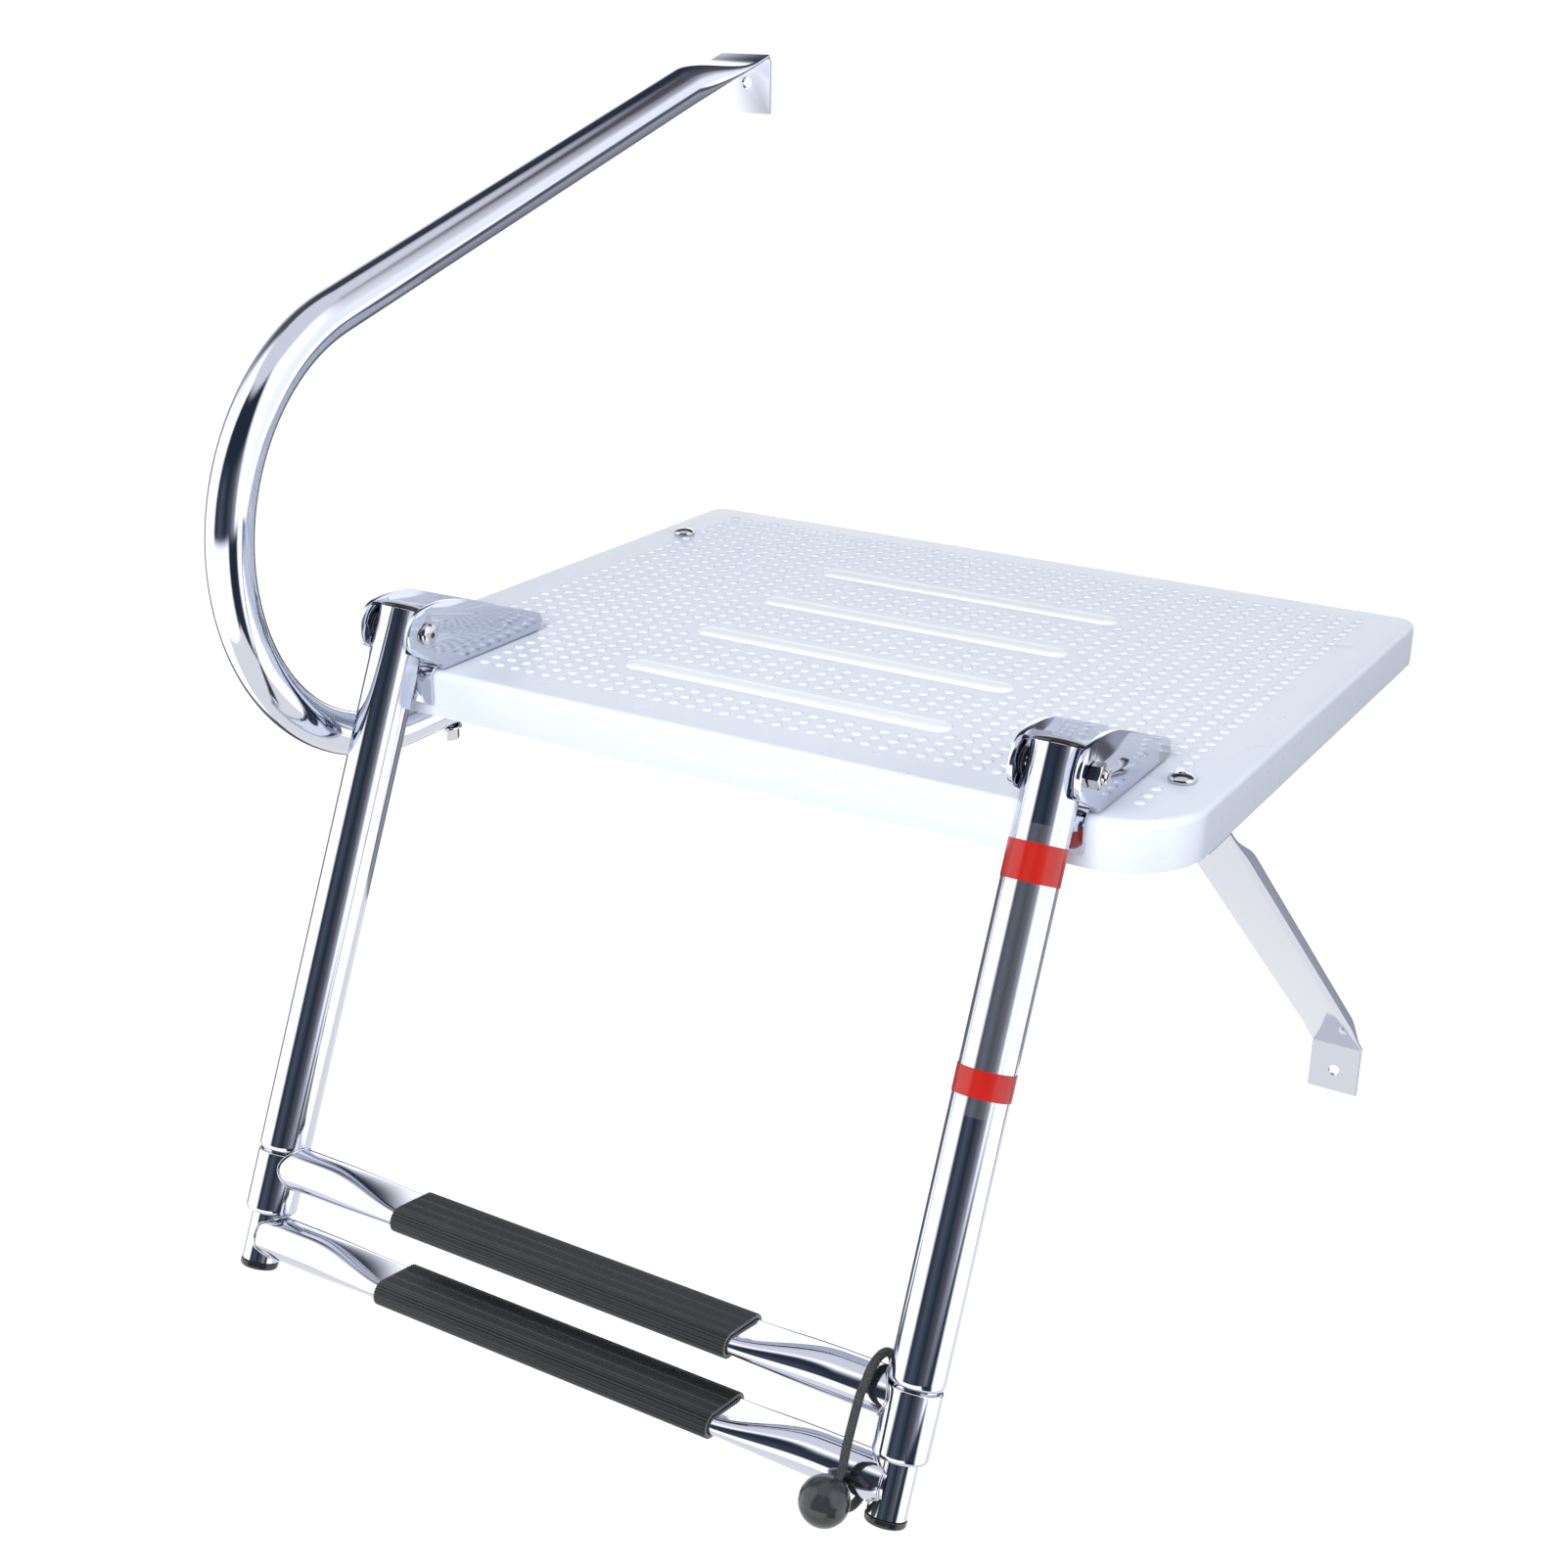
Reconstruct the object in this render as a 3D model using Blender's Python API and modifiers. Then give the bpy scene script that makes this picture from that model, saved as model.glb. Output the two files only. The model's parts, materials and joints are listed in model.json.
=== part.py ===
"""Swim platform with a fold-over telescoping boarding ladder, a handrail and a support strut.

Metres, +Z up. +Y points to the boat's transom, the ladder is at -Y. The origin is the centre of the
deck's rear face, which rests on the transom.
"""

from math import cos, pi, radians, sin, sqrt, tan

import bmesh
import bpy
from mathutils import Matrix, Vector

MM = 0.001
GAP = 0.3 * MM

# Deck: a moulded tray, open below.
DECK_WIDTH = 578 * MM
DECK_DEPTH = 462 * MM
DECK_HEIGHT = 30 * MM
DECK_WALL = 3.5 * MM
DECK_TOP = DECK_HEIGHT / 2
DECK_EDGE = 5 * MM
CORNER_FRONT = 50 * MM
CORNER_REAR = 14 * MM

# Hinges and ladder.
LEG_X = 223 * MM
PIVOT_Y = -472.6 * MM
PIVOT_Z = 43.4 * MM
LADDER_TILT = radians(24)
SHEET = 3 * MM
EAR_GAP = 35 * MM
EAR_HEAD = 17 * MM
EAR_HEAD_END = radians(98)
EAR_CROWN_R = 90 * MM
EAR_SLOPE = radians(20.3)
EAR_TIP_R = 6 * MM
EAR_REAR_Y = -355.6 * MM
TAB_WIDTH = 30 * MM
TAB_DROP = 21 * MM

OUTER_R = 15.9 * MM
OUTER_BORE_R = 14.5 * MM
OUTER_LIP_R = 13.8 * MM
OUTER_TOP = 12 * MM
OUTER_BOTTOM = -334 * MM
MIDDLE_R = 13.5 * MM
MIDDLE_BORE_R = 12.3 * MM
MIDDLE_TOP = -80 * MM
COLLAR_R = 15.7 * MM
COLLAR_BOTTOM = -374 * MM
COLLAR_LIP_R = 11.5 * MM
INNER_R = 11.1 * MM
INNER_BORE_R = 9.9 * MM
INNER_TOP = -121 * MM
INNER_BOTTOM = -405 * MM
GUIDE = 40 * MM

# Steps: round at the legs, pressed flat under the treads.
STEP_R = 13.2 * MM
STEP_WALL = 1.3 * MM
STEP_FLAT = 5 * MM
STEP_1 = -343 * MM
STEP_2 = -388 * MM
TREAD_LENGTH = 235 * MM
TREAD_WALL = 2.4 * MM
TREAD_LEVEL = radians(14)

# Handrail: a bent tube, pressed flat at the transom.
SIDE_X = 262 * MM
RAIL_R = 14.3 * MM
RAIL_WALL = 1.5 * MM
RAIL_LOW_Z = -39.5 * MM
RAIL_BEND_R = 140.7 * MM
RAIL_SLOPE = radians(16.3)
RAIL_REAR_Y = -30 * MM
RAIL_TOP_Z = 367.5 * MM
RAIL_DROP = 5.2 * MM
PRESSED = 1.7 * MM
FLANGE_HOLE_R = 4.25 * MM
RING = 20

# Strut: a sheet channel, bent flat at both ends.
STRUT_X = 268.5 * MM
STRUT_WIDTH = 38 * MM
STRUT_SHEET = 2.5 * MM
STRUT_SLOPE = radians(39.9)
STRUT_LIP = 7 * MM
STRUT_PAD_Z = -16.8 * MM
STRUT_PAD_Y = -404 * MM
STRUT_FOOT_Z = -363 * MM
STRUT_RUN_TOP_Y = -368.5 * MM

# Fasteners.
BOLT_R = 4 * MM
HOLE_R = 4.3 * MM
BOLT_FRONT_Y = -385.5 * MM
BOLT_REAR_Y = -91.5 * MM
BASE_BOLT_Y = (-380 * MM, -432 * MM)
NUT_FLATS = 13 * MM

# Retaining cord: an elastic loop round both steps, closed by a ball.
CORD_X = 202 * MM
CORD_R = 2.5 * MM
BALL_R = 14 * MM
BALL_Y = -26.7 * MM
BALL_Z = STEP_2 - 13.4 * MM

ROUND = 24
STEEL = (0.78, 0.79, 0.81, 1)
WHITE = (0.9, 0.92, 0.94, 1)
BLACK = (0.03, 0.03, 0.035, 1)
GREY = (0.1, 0.11, 0.12, 1)


def clear_scene():
    for obj in list(bpy.data.objects):
        bpy.data.objects.remove(obj, do_unlink=True)


def new_collection(name):
    collection = bpy.data.collections.new(name)
    bpy.context.scene.collection.children.link(collection)
    return collection


def new_material(name, colour, metallic, roughness):
    material = bpy.data.materials.new(name)
    material.use_nodes = True
    shader = material.node_tree.nodes["Principled BSDF"]
    shader.inputs["Base Color"].default_value = colour
    shader.inputs["Metallic"].default_value = metallic
    shader.inputs["Roughness"].default_value = roughness
    material.diffuse_color = colour
    return material


clear_scene()
PARTS = new_collection("Boarding ladder")
CUTTERS = new_collection("Cutters")


def add_object(name, mesh, parent=None, material=None, collection=PARTS):
    obj = bpy.data.objects.new(name, mesh)
    collection.objects.link(obj)
    obj.parent = parent
    if material:
        obj.data.materials.append(material)
    return obj


def add_cutter(name, mesh, parent=None):
    obj = add_object(name, mesh, parent, None, CUTTERS)
    obj.hide_render = True
    obj.display_type = "WIRE"
    return obj


def add_empty(name, location=(0, 0, 0), rotation=(0, 0, 0), parent=None):
    empty = bpy.data.objects.new(name, None)
    PARTS.objects.link(empty)
    empty.parent = parent
    empty.location = location
    empty.rotation_euler = rotation
    return empty


def boolean(obj, other, operation="DIFFERENCE"):
    modifier = obj.modifiers.new(other.name, "BOOLEAN")
    modifier.operation = operation
    modifier.solver = "EXACT"
    modifier.object = other
    return modifier


def mesh_from(bm, name, smooth_angle=radians(35)):
    bmesh.ops.recalc_face_normals(bm, faces=bm.faces)
    mesh = bpy.data.meshes.new(name)
    bm.to_mesh(mesh)
    bm.free()
    mesh.shade_smooth()
    mesh.set_sharp_from_angle(angle=smooth_angle)
    return mesh


def box_mesh(name, low, high):
    bm = bmesh.new()
    bmesh.ops.create_cube(bm, size=1)
    low, high = Vector(low), Vector(high)
    size = high - low
    bmesh.ops.scale(bm, vec=size, verts=bm.verts)
    bmesh.ops.translate(bm, vec=(low + high) / 2, verts=bm.verts)
    return mesh_from(bm, name)


def cylinder_mesh(name, radius, start, end, segments=24):
    """A closed cylinder from start to end."""
    start, end = Vector(start), Vector(end)
    axis = end - start
    bm = bmesh.new()
    bmesh.ops.create_cone(
        bm, cap_ends=True, segments=segments, radius1=radius, radius2=radius, depth=axis.length
    )
    turn = Vector((0, 0, 1)).rotation_difference(axis).to_matrix().to_4x4()
    bmesh.ops.transform(bm, matrix=Matrix.Translation((start + end) / 2) @ turn, verts=bm.verts)
    return mesh_from(bm, name)


def turned(name, profile, parent, material, location=(0, 0, 0), rotation=(0, 0, 0), steps=ROUND):
    """A solid turned about local Z from a closed outline or one whose ends lie on the axis.

    The outline of (radius, z) points runs down the outer side, top to bottom.
    """
    closed = min(radius for radius, _ in profile) > 0
    mesh = bpy.data.meshes.new(name)
    points = [(radius, 0, z) for radius, z in profile]
    edges = [(i, i + 1) for i in range(len(points) - 1)]
    if closed:
        edges.append((len(points) - 1, 0))
    mesh.from_pydata(points, edges, [])
    obj = add_object(name, mesh, parent, material)
    obj.location = location
    obj.rotation_euler = rotation
    screw = obj.modifiers.new("Turn", "SCREW")
    screw.axis = "Z"
    screw.steps = steps
    screw.render_steps = steps
    screw.use_merge_vertices = True
    screw.merge_threshold = 0.00001
    screw.use_smooth_shade = True
    return obj


def extruded(name, outline, low, high, axis="X"):
    """A prism of a closed outline: (y, z) points along X, or (x, y) points along Z."""
    bm = bmesh.new()
    if axis == "X":
        verts = [bm.verts.new((low, a, b)) for a, b in outline]
        shift = (high - low, 0, 0)
    else:
        verts = [bm.verts.new((a, b, low)) for a, b in outline]
        shift = (0, 0, high - low)
    face = bm.faces.new(verts)
    grown = bmesh.ops.extrude_face_region(bm, geom=[face])
    top = [item for item in grown["geom"] if isinstance(item, bmesh.types.BMVert)]
    bmesh.ops.translate(bm, vec=shift, verts=top)
    return mesh_from(bm, name)


def arc(centre, radius, start, end, count):
    """Points on an arc in a plane; the angles are in radians."""
    return [
        (
            centre[0] + radius * cos(start + (end - start) * i / count),
            centre[1] + radius * sin(start + (end - start) * i / count),
        )
        for i in range(count + 1)
    ]


def loft(name, rings):
    """A closed solid through rings of equal point count, capped at both ends."""
    bm = bmesh.new()
    rows = [[bm.verts.new(point) for point in ring] for ring in rings]
    count = len(rows[0])
    for lower, upper in zip(rows, rows[1:]):
        for i in range(count):
            j = (i + 1) % count
            bm.faces.new((lower[i], lower[j], upper[j], upper[i]))
    bm.faces.new(list(reversed(rows[0])))
    bm.faces.new(rows[-1])
    return mesh_from(bm, name)


def pressed_section(radius, half_thickness, count=RING):
    """A round tube's section pressed to a stadium of the same perimeter: (width, thickness) points."""
    straight = (2 * pi * radius - 2 * pi * half_thickness) / 4
    points = []
    for i in range(count):
        angle = 2 * pi * (i + 0.5) / count
        side = straight if cos(angle) > 0 else -straight
        points.append((side + half_thickness * cos(angle), half_thickness * sin(angle)))
    return points


def ease(fraction):
    return (1 - cos(pi * fraction)) / 2


# ---------------------------------------------------------------- materials


STEEL_MATERIAL = new_material("polished steel", STEEL, 1.0, 0.12)
WHITE_MATERIAL = new_material("white plastic", WHITE, 0.0, 0.35)
BLACK_MATERIAL = new_material("black rubber", BLACK, 0.0, 0.5)
PLUG_MATERIAL = new_material("black plastic", BLACK, 0.0, 0.3)
NYLON_MATERIAL = new_material("nylon", (0.85, 0.85, 0.82, 1), 0.0, 0.5)
CORD_MATERIAL = new_material("elastic cord", GREY, 0.0, 0.7)
BALL_MATERIAL = new_material("ball", GREY, 0.0, 0.2)


# ---------------------------------------------------------------- deck


def deck_outline(inset):
    """The deck's plan outline, moved inwards by inset."""
    x = DECK_WIDTH / 2 - inset
    front = -DECK_DEPTH + inset
    rear = -inset
    front_r = CORNER_FRONT - inset
    rear_r = CORNER_REAR - inset
    points = arc((x - rear_r, rear - rear_r), rear_r, 0, pi / 2, 5)
    points += arc((-x + rear_r, rear - rear_r), rear_r, pi / 2, pi, 5)
    points += arc((-x + front_r, front + front_r), front_r, pi, 3 * pi / 2, 10)
    points += arc((x - front_r, front + front_r), front_r, 3 * pi / 2, 2 * pi, 10)
    return points


def deck_rings(levels):
    return [[(x, y, z) for x, y in deck_outline(inset)] for inset, z in levels]


def make_deck():
    edge = [
        (DECK_EDGE * (1 - sin(angle)), DECK_TOP - DECK_EDGE * (1 - cos(angle)))
        for angle in (radians(90), radians(60), radians(30), 0)
    ]
    shell = loft("deck_panel", deck_rings([(0, -DECK_TOP)] + edge))
    deck = add_object("deck_panel", shell, None, WHITE_MATERIAL)
    hollow = [
        (DECK_WALL, -DECK_TOP - MM),
        (DECK_WALL, DECK_TOP - 6 * MM),
        (DECK_WALL + 2 * MM, DECK_TOP - DECK_WALL),
    ]
    boolean(deck, add_cutter("deck_hollow", loft("deck_hollow", deck_rings(hollow))))
    holes = [(-SIDE_X, BOLT_REAR_Y), (-SIDE_X, BOLT_FRONT_Y), (SIDE_X, BOLT_FRONT_Y)]
    holes += [(side * LEG_X, y) for side in (-1, 1) for y in BASE_BOLT_Y]
    for i, (x, y) in enumerate(holes):
        mesh = cylinder_mesh("deck_hole", HOLE_R, (x, y, 0), (x, y, DECK_TOP + MM), 16)
        boolean(deck, add_cutter(f"deck_hole_{i}", mesh))


# ---------------------------------------------------------------- hinge brackets


def ear_outline():
    """Side outline of an ear: a round head on the pivot, a crown, then a straight taper to a round tip."""
    base = DECK_TOP + 2 * GAP
    head_turn = EAR_HEAD_END - pi / 2
    crown_in = EAR_CROWN_R - EAR_HEAD
    crown = (PIVOT_Y - crown_in * cos(EAR_HEAD_END), PIVOT_Z - crown_in * sin(EAR_HEAD_END))
    taper = pi / 2 - EAR_SLOPE
    start = (crown[0] + EAR_CROWN_R * cos(taper), crown[1] + EAR_CROWN_R * sin(taper))
    tip_y = EAR_REAR_Y - EAR_TIP_R
    tip_z = start[1] - (tip_y - start[0]) * tan(EAR_SLOPE) - EAR_TIP_R / cos(EAR_SLOPE)
    points = [(tip_y + MM, base)]
    points += arc((tip_y, tip_z), EAR_TIP_R, radians(-40), taper, 6)
    points += arc(crown, EAR_CROWN_R, taper, pi / 2 + head_turn, 8)
    points += arc((PIVOT_Y, PIVOT_Z), EAR_HEAD, EAR_HEAD_END, radians(217), 12)[1:]
    points += [(-465.8 * MM, 22.2 * MM), (-458 * MM, base + 3 * MM), (-454 * MM, base)]
    return points


def base_outline():
    """Side outline of the base sheet and the tab bent down over the deck's front face."""
    bottom = DECK_TOP + GAP
    face = -DECK_DEPTH - GAP
    bend = 5 * MM
    centre = (face + bend, bottom - bend)
    low = DECK_TOP - TAB_DROP
    inner = arc(centre, bend, pi, pi / 2, 5)
    outer = arc(centre, bend + SHEET, pi / 2, pi, 5)
    rear = EAR_REAR_Y - 2 * MM
    return [(face, low)] + inner + [(rear, bottom), (rear, bottom + SHEET)] + outer + [(face - SHEET, low)]


def make_bracket(name, x):
    """A base and tab bent from one sheet, with an ear welded along each long side."""
    half = EAR_GAP / 2
    width = half + SHEET / 2
    bracket = add_object(name, extruded(name, base_outline(), x - width, x + width), None, STEEL_MATERIAL)
    for side in (-1, 1):
        near = x + side * TAB_WIDTH / 2
        far = x + side * 2 * width
        notch_low = (min(near, far), -DECK_DEPTH - 18 * MM, DECK_TOP - 40 * MM)
        notch_high = (max(near, far), -DECK_DEPTH + 7 * MM, DECK_TOP + 20 * MM)
        notch = box_mesh("notch", notch_low, notch_high)
        boolean(bracket, add_cutter(f"{name}_notch_{side + 1}", notch))
    for side in (-1, 1):
        near = x + side * half
        far = near + side * SHEET
        ear = extruded("ear", ear_outline(), min(near, far), max(near, far))
        boolean(bracket, add_cutter(f"{name}_ear_{side + 1}", ear), "UNION")
    reach = half + 2 * SHEET
    hole = cylinder_mesh("hole", HOLE_R, (x - reach, PIVOT_Y, PIVOT_Z), (x + reach, PIVOT_Y, PIVOT_Z), 20)
    boolean(bracket, add_cutter(name + "_pivot_hole", hole))
    for i, y in enumerate(BASE_BOLT_Y):
        hole = cylinder_mesh("hole", HOLE_R, (x, y, DECK_TOP), (x, y, DECK_TOP + 3 * SHEET), 16)
        boolean(bracket, add_cutter(f"{name}_base_hole_{i}", hole))


# ---------------------------------------------------------------- fasteners


def bolt_profile(head_r, head_height, length):
    """A domed head above z = 0 and a shank below it."""
    dome = [
        (head_r * cos(angle), 0.3 * head_height + 0.7 * head_height * sin(angle))
        for angle in (radians(70), radians(45), radians(20), 0)
    ]
    return [(0, head_height)] + dome + [(head_r, 0), (BOLT_R, 0), (BOLT_R, -length), (0, -length)]


def hexagon_mesh(name, flats, height):
    """A hexagonal prism standing on z = 0, measured across its flats."""
    bm = bmesh.new()
    bmesh.ops.create_cone(
        bm, cap_ends=True, segments=6, radius1=flats / sqrt(3), radius2=flats / sqrt(3), depth=height
    )
    bmesh.ops.translate(bm, vec=(0, 0, height / 2), verts=bm.verts)
    return mesh_from(bm, name)


def make_nut(name, location, rotation, parent=None, height=6.5 * MM):
    nut = add_object(name, hexagon_mesh(name, NUT_FLATS, height), parent, STEEL_MATERIAL)
    nut.location = location
    nut.rotation_euler = rotation
    bore = cylinder_mesh("hole", HOLE_R, (0, 0, -MM), (0, 0, height + MM), 16)
    hole = add_cutter(name + "_hole", bore, parent)
    hole.location = location
    hole.rotation_euler = rotation
    boolean(nut, hole)
    return nut


def ring_profile(outer, inner, bottom, top):
    return [(outer, top), (outer, bottom), (inner, bottom), (inner, top)]


def make_deck_bolt(name, x, y, seat_z):
    """A bolt from the deck's top down to a nut and washer under seat_z."""
    head = DECK_TOP + GAP
    nut_height = 8 * MM
    washer = 1.5 * MM
    length = head - seat_z + 3 * GAP + washer + nut_height
    profile = bolt_profile(8 * MM, 4.8 * MM, length)
    turned("bolt_" + name, profile, None, STEEL_MATERIAL, (x, y, head), steps=16)
    washer_top = seat_z - GAP
    profile = ring_profile(9 * MM, HOLE_R, washer_top - washer, washer_top)
    turned("washer_" + name, profile, None, STEEL_MATERIAL, (x, y, 0), steps=16)
    make_nut("nut_" + name, (x, y, washer_top - washer - GAP - nut_height), (0, 0, 0), height=nut_height)


def make_spacer(name, x, y, bottom):
    """A tube between the deck's underside and the rail or strut that the bolt clamps."""
    top = DECK_TOP - DECK_WALL - GAP
    profile = ring_profile(10 * MM, HOLE_R, bottom, top)
    turned("spacer_" + name, profile, None, WHITE_MATERIAL, (x, y, 0), steps=16)


def make_deck_fasteners():
    rail_crest = RAIL_LOW_Z + RAIL_R + GAP
    rail_seat = RAIL_LOW_Z - RAIL_R
    make_deck_bolt("rear_left", -SIDE_X, BOLT_REAR_Y, rail_seat)
    make_deck_bolt("front_left", -SIDE_X, BOLT_FRONT_Y, rail_seat)
    make_deck_bolt("front_right", SIDE_X, BOLT_FRONT_Y, STRUT_PAD_Z - STRUT_SHEET / 2)
    make_spacer("rear_left", -SIDE_X, BOLT_REAR_Y, rail_crest)
    make_spacer("front_left", -SIDE_X, BOLT_FRONT_Y, rail_crest)
    make_spacer("front_right", SIDE_X, BOLT_FRONT_Y, STRUT_PAD_Z + STRUT_SHEET / 2 + GAP)


def make_base_bolts():
    head = DECK_TOP + 2 * GAP + SHEET
    under = DECK_TOP - DECK_WALL - GAP
    nut_height = 6.5 * MM
    for side, x in (("left", -LEG_X), ("right", LEG_X)):
        for place, y in zip(("rear", "front"), BASE_BOLT_Y):
            label = f"{side}_{place}"
            length = head - under + nut_height + MM
            profile = bolt_profile(6.5 * MM, 3.6 * MM, length)
            turned("base_bolt_" + label, profile, None, STEEL_MATERIAL, (x, y, head), steps=16)
            make_nut("base_nut_" + label, (x, y, under - nut_height), (0, 0, 0), height=nut_height)


def make_pivot_bolts():
    """Each bolt's head is on the ladder's inner side and its nut on the outer side."""
    half = EAR_GAP / 2 + SHEET
    washer = 1 * MM
    for name, x, outward in (("left", -LEG_X, -1), ("right", LEG_X, 1)):
        seat = x - outward * (half + GAP)
        turn = (0, -outward * pi / 2, 0)
        profile = bolt_profile(7 * MM, 4.4 * MM, 2 * half + 2 * GAP + 9 * MM)
        turned("pivot_bolt_" + name, profile, None, STEEL_MATERIAL, (seat, PIVOT_Y, PIVOT_Z), turn, 16)
        nut_seat = x + outward * (half + GAP)
        make_nut("pivot_nut_" + name, (nut_seat, PIVOT_Y, PIVOT_Z), (0, outward * pi / 2, 0))
        for side, label in ((-1, "inner"), (1, "outer")):
            near = x + side * outward * (EAR_GAP / 2 - GAP - washer / 2)
            profile = ring_profile(8 * MM, HOLE_R, -washer / 2, washer / 2)
            place = (near, PIVOT_Y, PIVOT_Z)
            turned(f"pivot_washer_{name}_{label}", profile, None, NYLON_MATERIAL, place, (0, pi / 2, 0), 16)


# ---------------------------------------------------------------- handrail and strut


def path_rings(path, radius, x):
    """Rings across a path in the YZ plane. Each station is (y, z, heading, half thickness)."""
    rings = []
    for y, z, heading, half_thickness in path:
        normal = (-sin(heading), cos(heading))
        ring = [
            (x + width, y + thickness * normal[0], z + thickness * normal[1])
            for width, thickness in pressed_section(radius, half_thickness)
        ]
        rings.append(ring)
    return rings


def bend_stations(centre, radius, start, end, half_thickness, count):
    """Stations round a bend to the left; start and end are headings."""
    stations = []
    for i in range(count + 1):
        heading = start + (end - start) * i / count
        y = centre[0] + radius * sin(heading)
        z = centre[1] - radius * cos(heading)
        stations.append((y, z, heading, half_thickness))
    return stations


def flange_stations(tip_z, bend_z, run_heading):
    """A pressed end: a flange up the transom, then a tight bend into the run."""
    bend_r = 4 * MM
    bend = bend_stations((-PRESSED - bend_r, bend_z), bend_r, pi / 2, run_heading, PRESSED, 5)
    return [(-PRESSED, tip_z, pi / 2, PRESSED)] + bend


def rail_path():
    """From the flange on the transom, out and down the upper run, round the bend and back under the deck."""
    heading = pi + RAIL_SLOPE
    stations = flange_stations(RAIL_TOP_Z - 41.5 * MM, RAIL_TOP_Z - 4 * MM, heading)
    y, z = stations[-1][:2]
    flat = 14 * MM
    swell = 75 * MM
    for i in range(6):
        share = i / 5
        run = flat + swell * share
        drop = RAIL_DROP * ease(share)
        half = PRESSED + (RAIL_R * 0.999 - PRESSED) * ease(share)
        along_y = run * cos(heading) + drop * sin(heading)
        along_z = run * sin(heading) - drop * cos(heading)
        stations.append((y + along_y, z + along_z, heading, half))
    y, z = stations[-1][:2]
    # The bend's centre lies one bend radius below the upper run.
    centre_z = RAIL_LOW_Z + RAIL_BEND_R
    foot = (z - centre_z - RAIL_BEND_R / cos(RAIL_SLOPE)) / tan(RAIL_SLOPE)
    stations += bend_stations((y - foot, centre_z), RAIL_BEND_R, heading, 2 * pi, RAIL_R * 0.999, 15)
    stations.append((RAIL_REAR_Y, RAIL_LOW_Z, 2 * pi, RAIL_R * 0.999))
    return stations


def bore_path(path, radius, wall, overrun):
    """The part of a path where the section is round, for cutting the tube's bore."""
    round_part = [(y, z, heading, radius - wall) for y, z, heading, half in path if half > radius * 0.99]
    y, z, heading, half = round_part[-1]
    round_part[-1] = (y + overrun * cos(heading), z + overrun * sin(heading), heading, half)
    return round_part


def make_rail():
    path = rail_path()
    rail = add_object("handrail", loft("handrail", path_rings(path, RAIL_R, -SIDE_X)), None, STEEL_MATERIAL)
    bore = bore_path(path, RAIL_R, RAIL_WALL, 5 * MM)
    bore_mesh = loft("handrail_bore", path_rings(bore, RAIL_R - RAIL_WALL, -SIDE_X))
    boolean(rail, add_cutter("handrail_bore", bore_mesh))
    for i, y in enumerate((BOLT_REAR_Y, BOLT_FRONT_Y)):
        reach = RAIL_R + MM
        hole = cylinder_mesh(
            "hole", HOLE_R, (-SIDE_X, y, RAIL_LOW_Z - reach), (-SIDE_X, y, RAIL_LOW_Z + reach), 16
        )
        boolean(rail, add_cutter(f"handrail_hole_{i}", hole))
    z = RAIL_TOP_Z - 19.5 * MM
    hole = cylinder_mesh("hole", FLANGE_HOLE_R, (-SIDE_X, -6 * MM, z), (-SIDE_X, MM, z), 20)
    boolean(rail, add_cutter("handrail_flange_hole", hole))


def sheet_outline(path, thickness):
    """The side outline of a bent sheet from stations of (y, z, heading) down its middle."""
    sides = []
    for side in (1, -1):
        offset = side * thickness / 2
        sides.append([(y - offset * sin(heading), z + offset * cos(heading)) for y, z, heading in path])
    return sides[0] + list(reversed(sides[1]))


def strut_path():
    """From the pad under the deck, down the run and bent to the foot on the transom."""
    bend_r = 5 * MM
    down = 2 * pi - STRUT_SLOPE
    pad_end = STRUT_RUN_TOP_Y - bend_r * tan(STRUT_SLOPE / 2)
    path = [(STRUT_PAD_Y, STRUT_PAD_Z, 2 * pi)]
    for i in range(6):
        heading = 2 * pi - STRUT_SLOPE * i / 5
        lean = 2 * pi - heading
        path.append((pad_end + bend_r * sin(lean), STRUT_PAD_Z - bend_r * (1 - cos(lean)), heading))
    foot_y = -STRUT_SHEET / 2
    corner_z = STRUT_PAD_Z - (foot_y - STRUT_RUN_TOP_Y) * tan(STRUT_SLOPE)
    back = bend_r * tan((pi / 2 - STRUT_SLOPE) / 2)
    start = (foot_y - back * cos(STRUT_SLOPE), corner_z + back * sin(STRUT_SLOPE))
    centre = (start[0] - bend_r * sin(STRUT_SLOPE), start[1] - bend_r * cos(STRUT_SLOPE))
    for i in range(6):
        heading = down - (pi / 2 - STRUT_SLOPE) * i / 5
        path.append((centre[0] - bend_r * sin(heading), centre[1] + bend_r * cos(heading), heading))
    path.append((foot_y, STRUT_FOOT_Z, 3 * pi / 2))
    return path


def lip_outline():
    """A side lip of the channel: full height along the run, dying away at both ends."""
    along = (cos(STRUT_SLOPE), -sin(STRUT_SLOPE))
    up = (sin(STRUT_SLOPE), cos(STRUT_SLOPE))
    length = -STRUT_RUN_TOP_Y / cos(STRUT_SLOPE)
    low = STRUT_SHEET / 4
    fade = 55 * MM
    crest = [(fade * i / 5, STRUT_LIP * ease(i / 5)) for i in range(6)]
    ends = [(8 * MM + run, low + height) for run, height in crest]
    ends += [(length - 10 * MM - run, low + height) for run, height in reversed(crest)]
    ends += [(length - 10 * MM, -low), (8 * MM, -low)]
    return [
        (STRUT_RUN_TOP_Y + run * along[0] + height * up[0], STRUT_PAD_Z + run * along[1] + height * up[1])
        for run, height in ends
    ]


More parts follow.
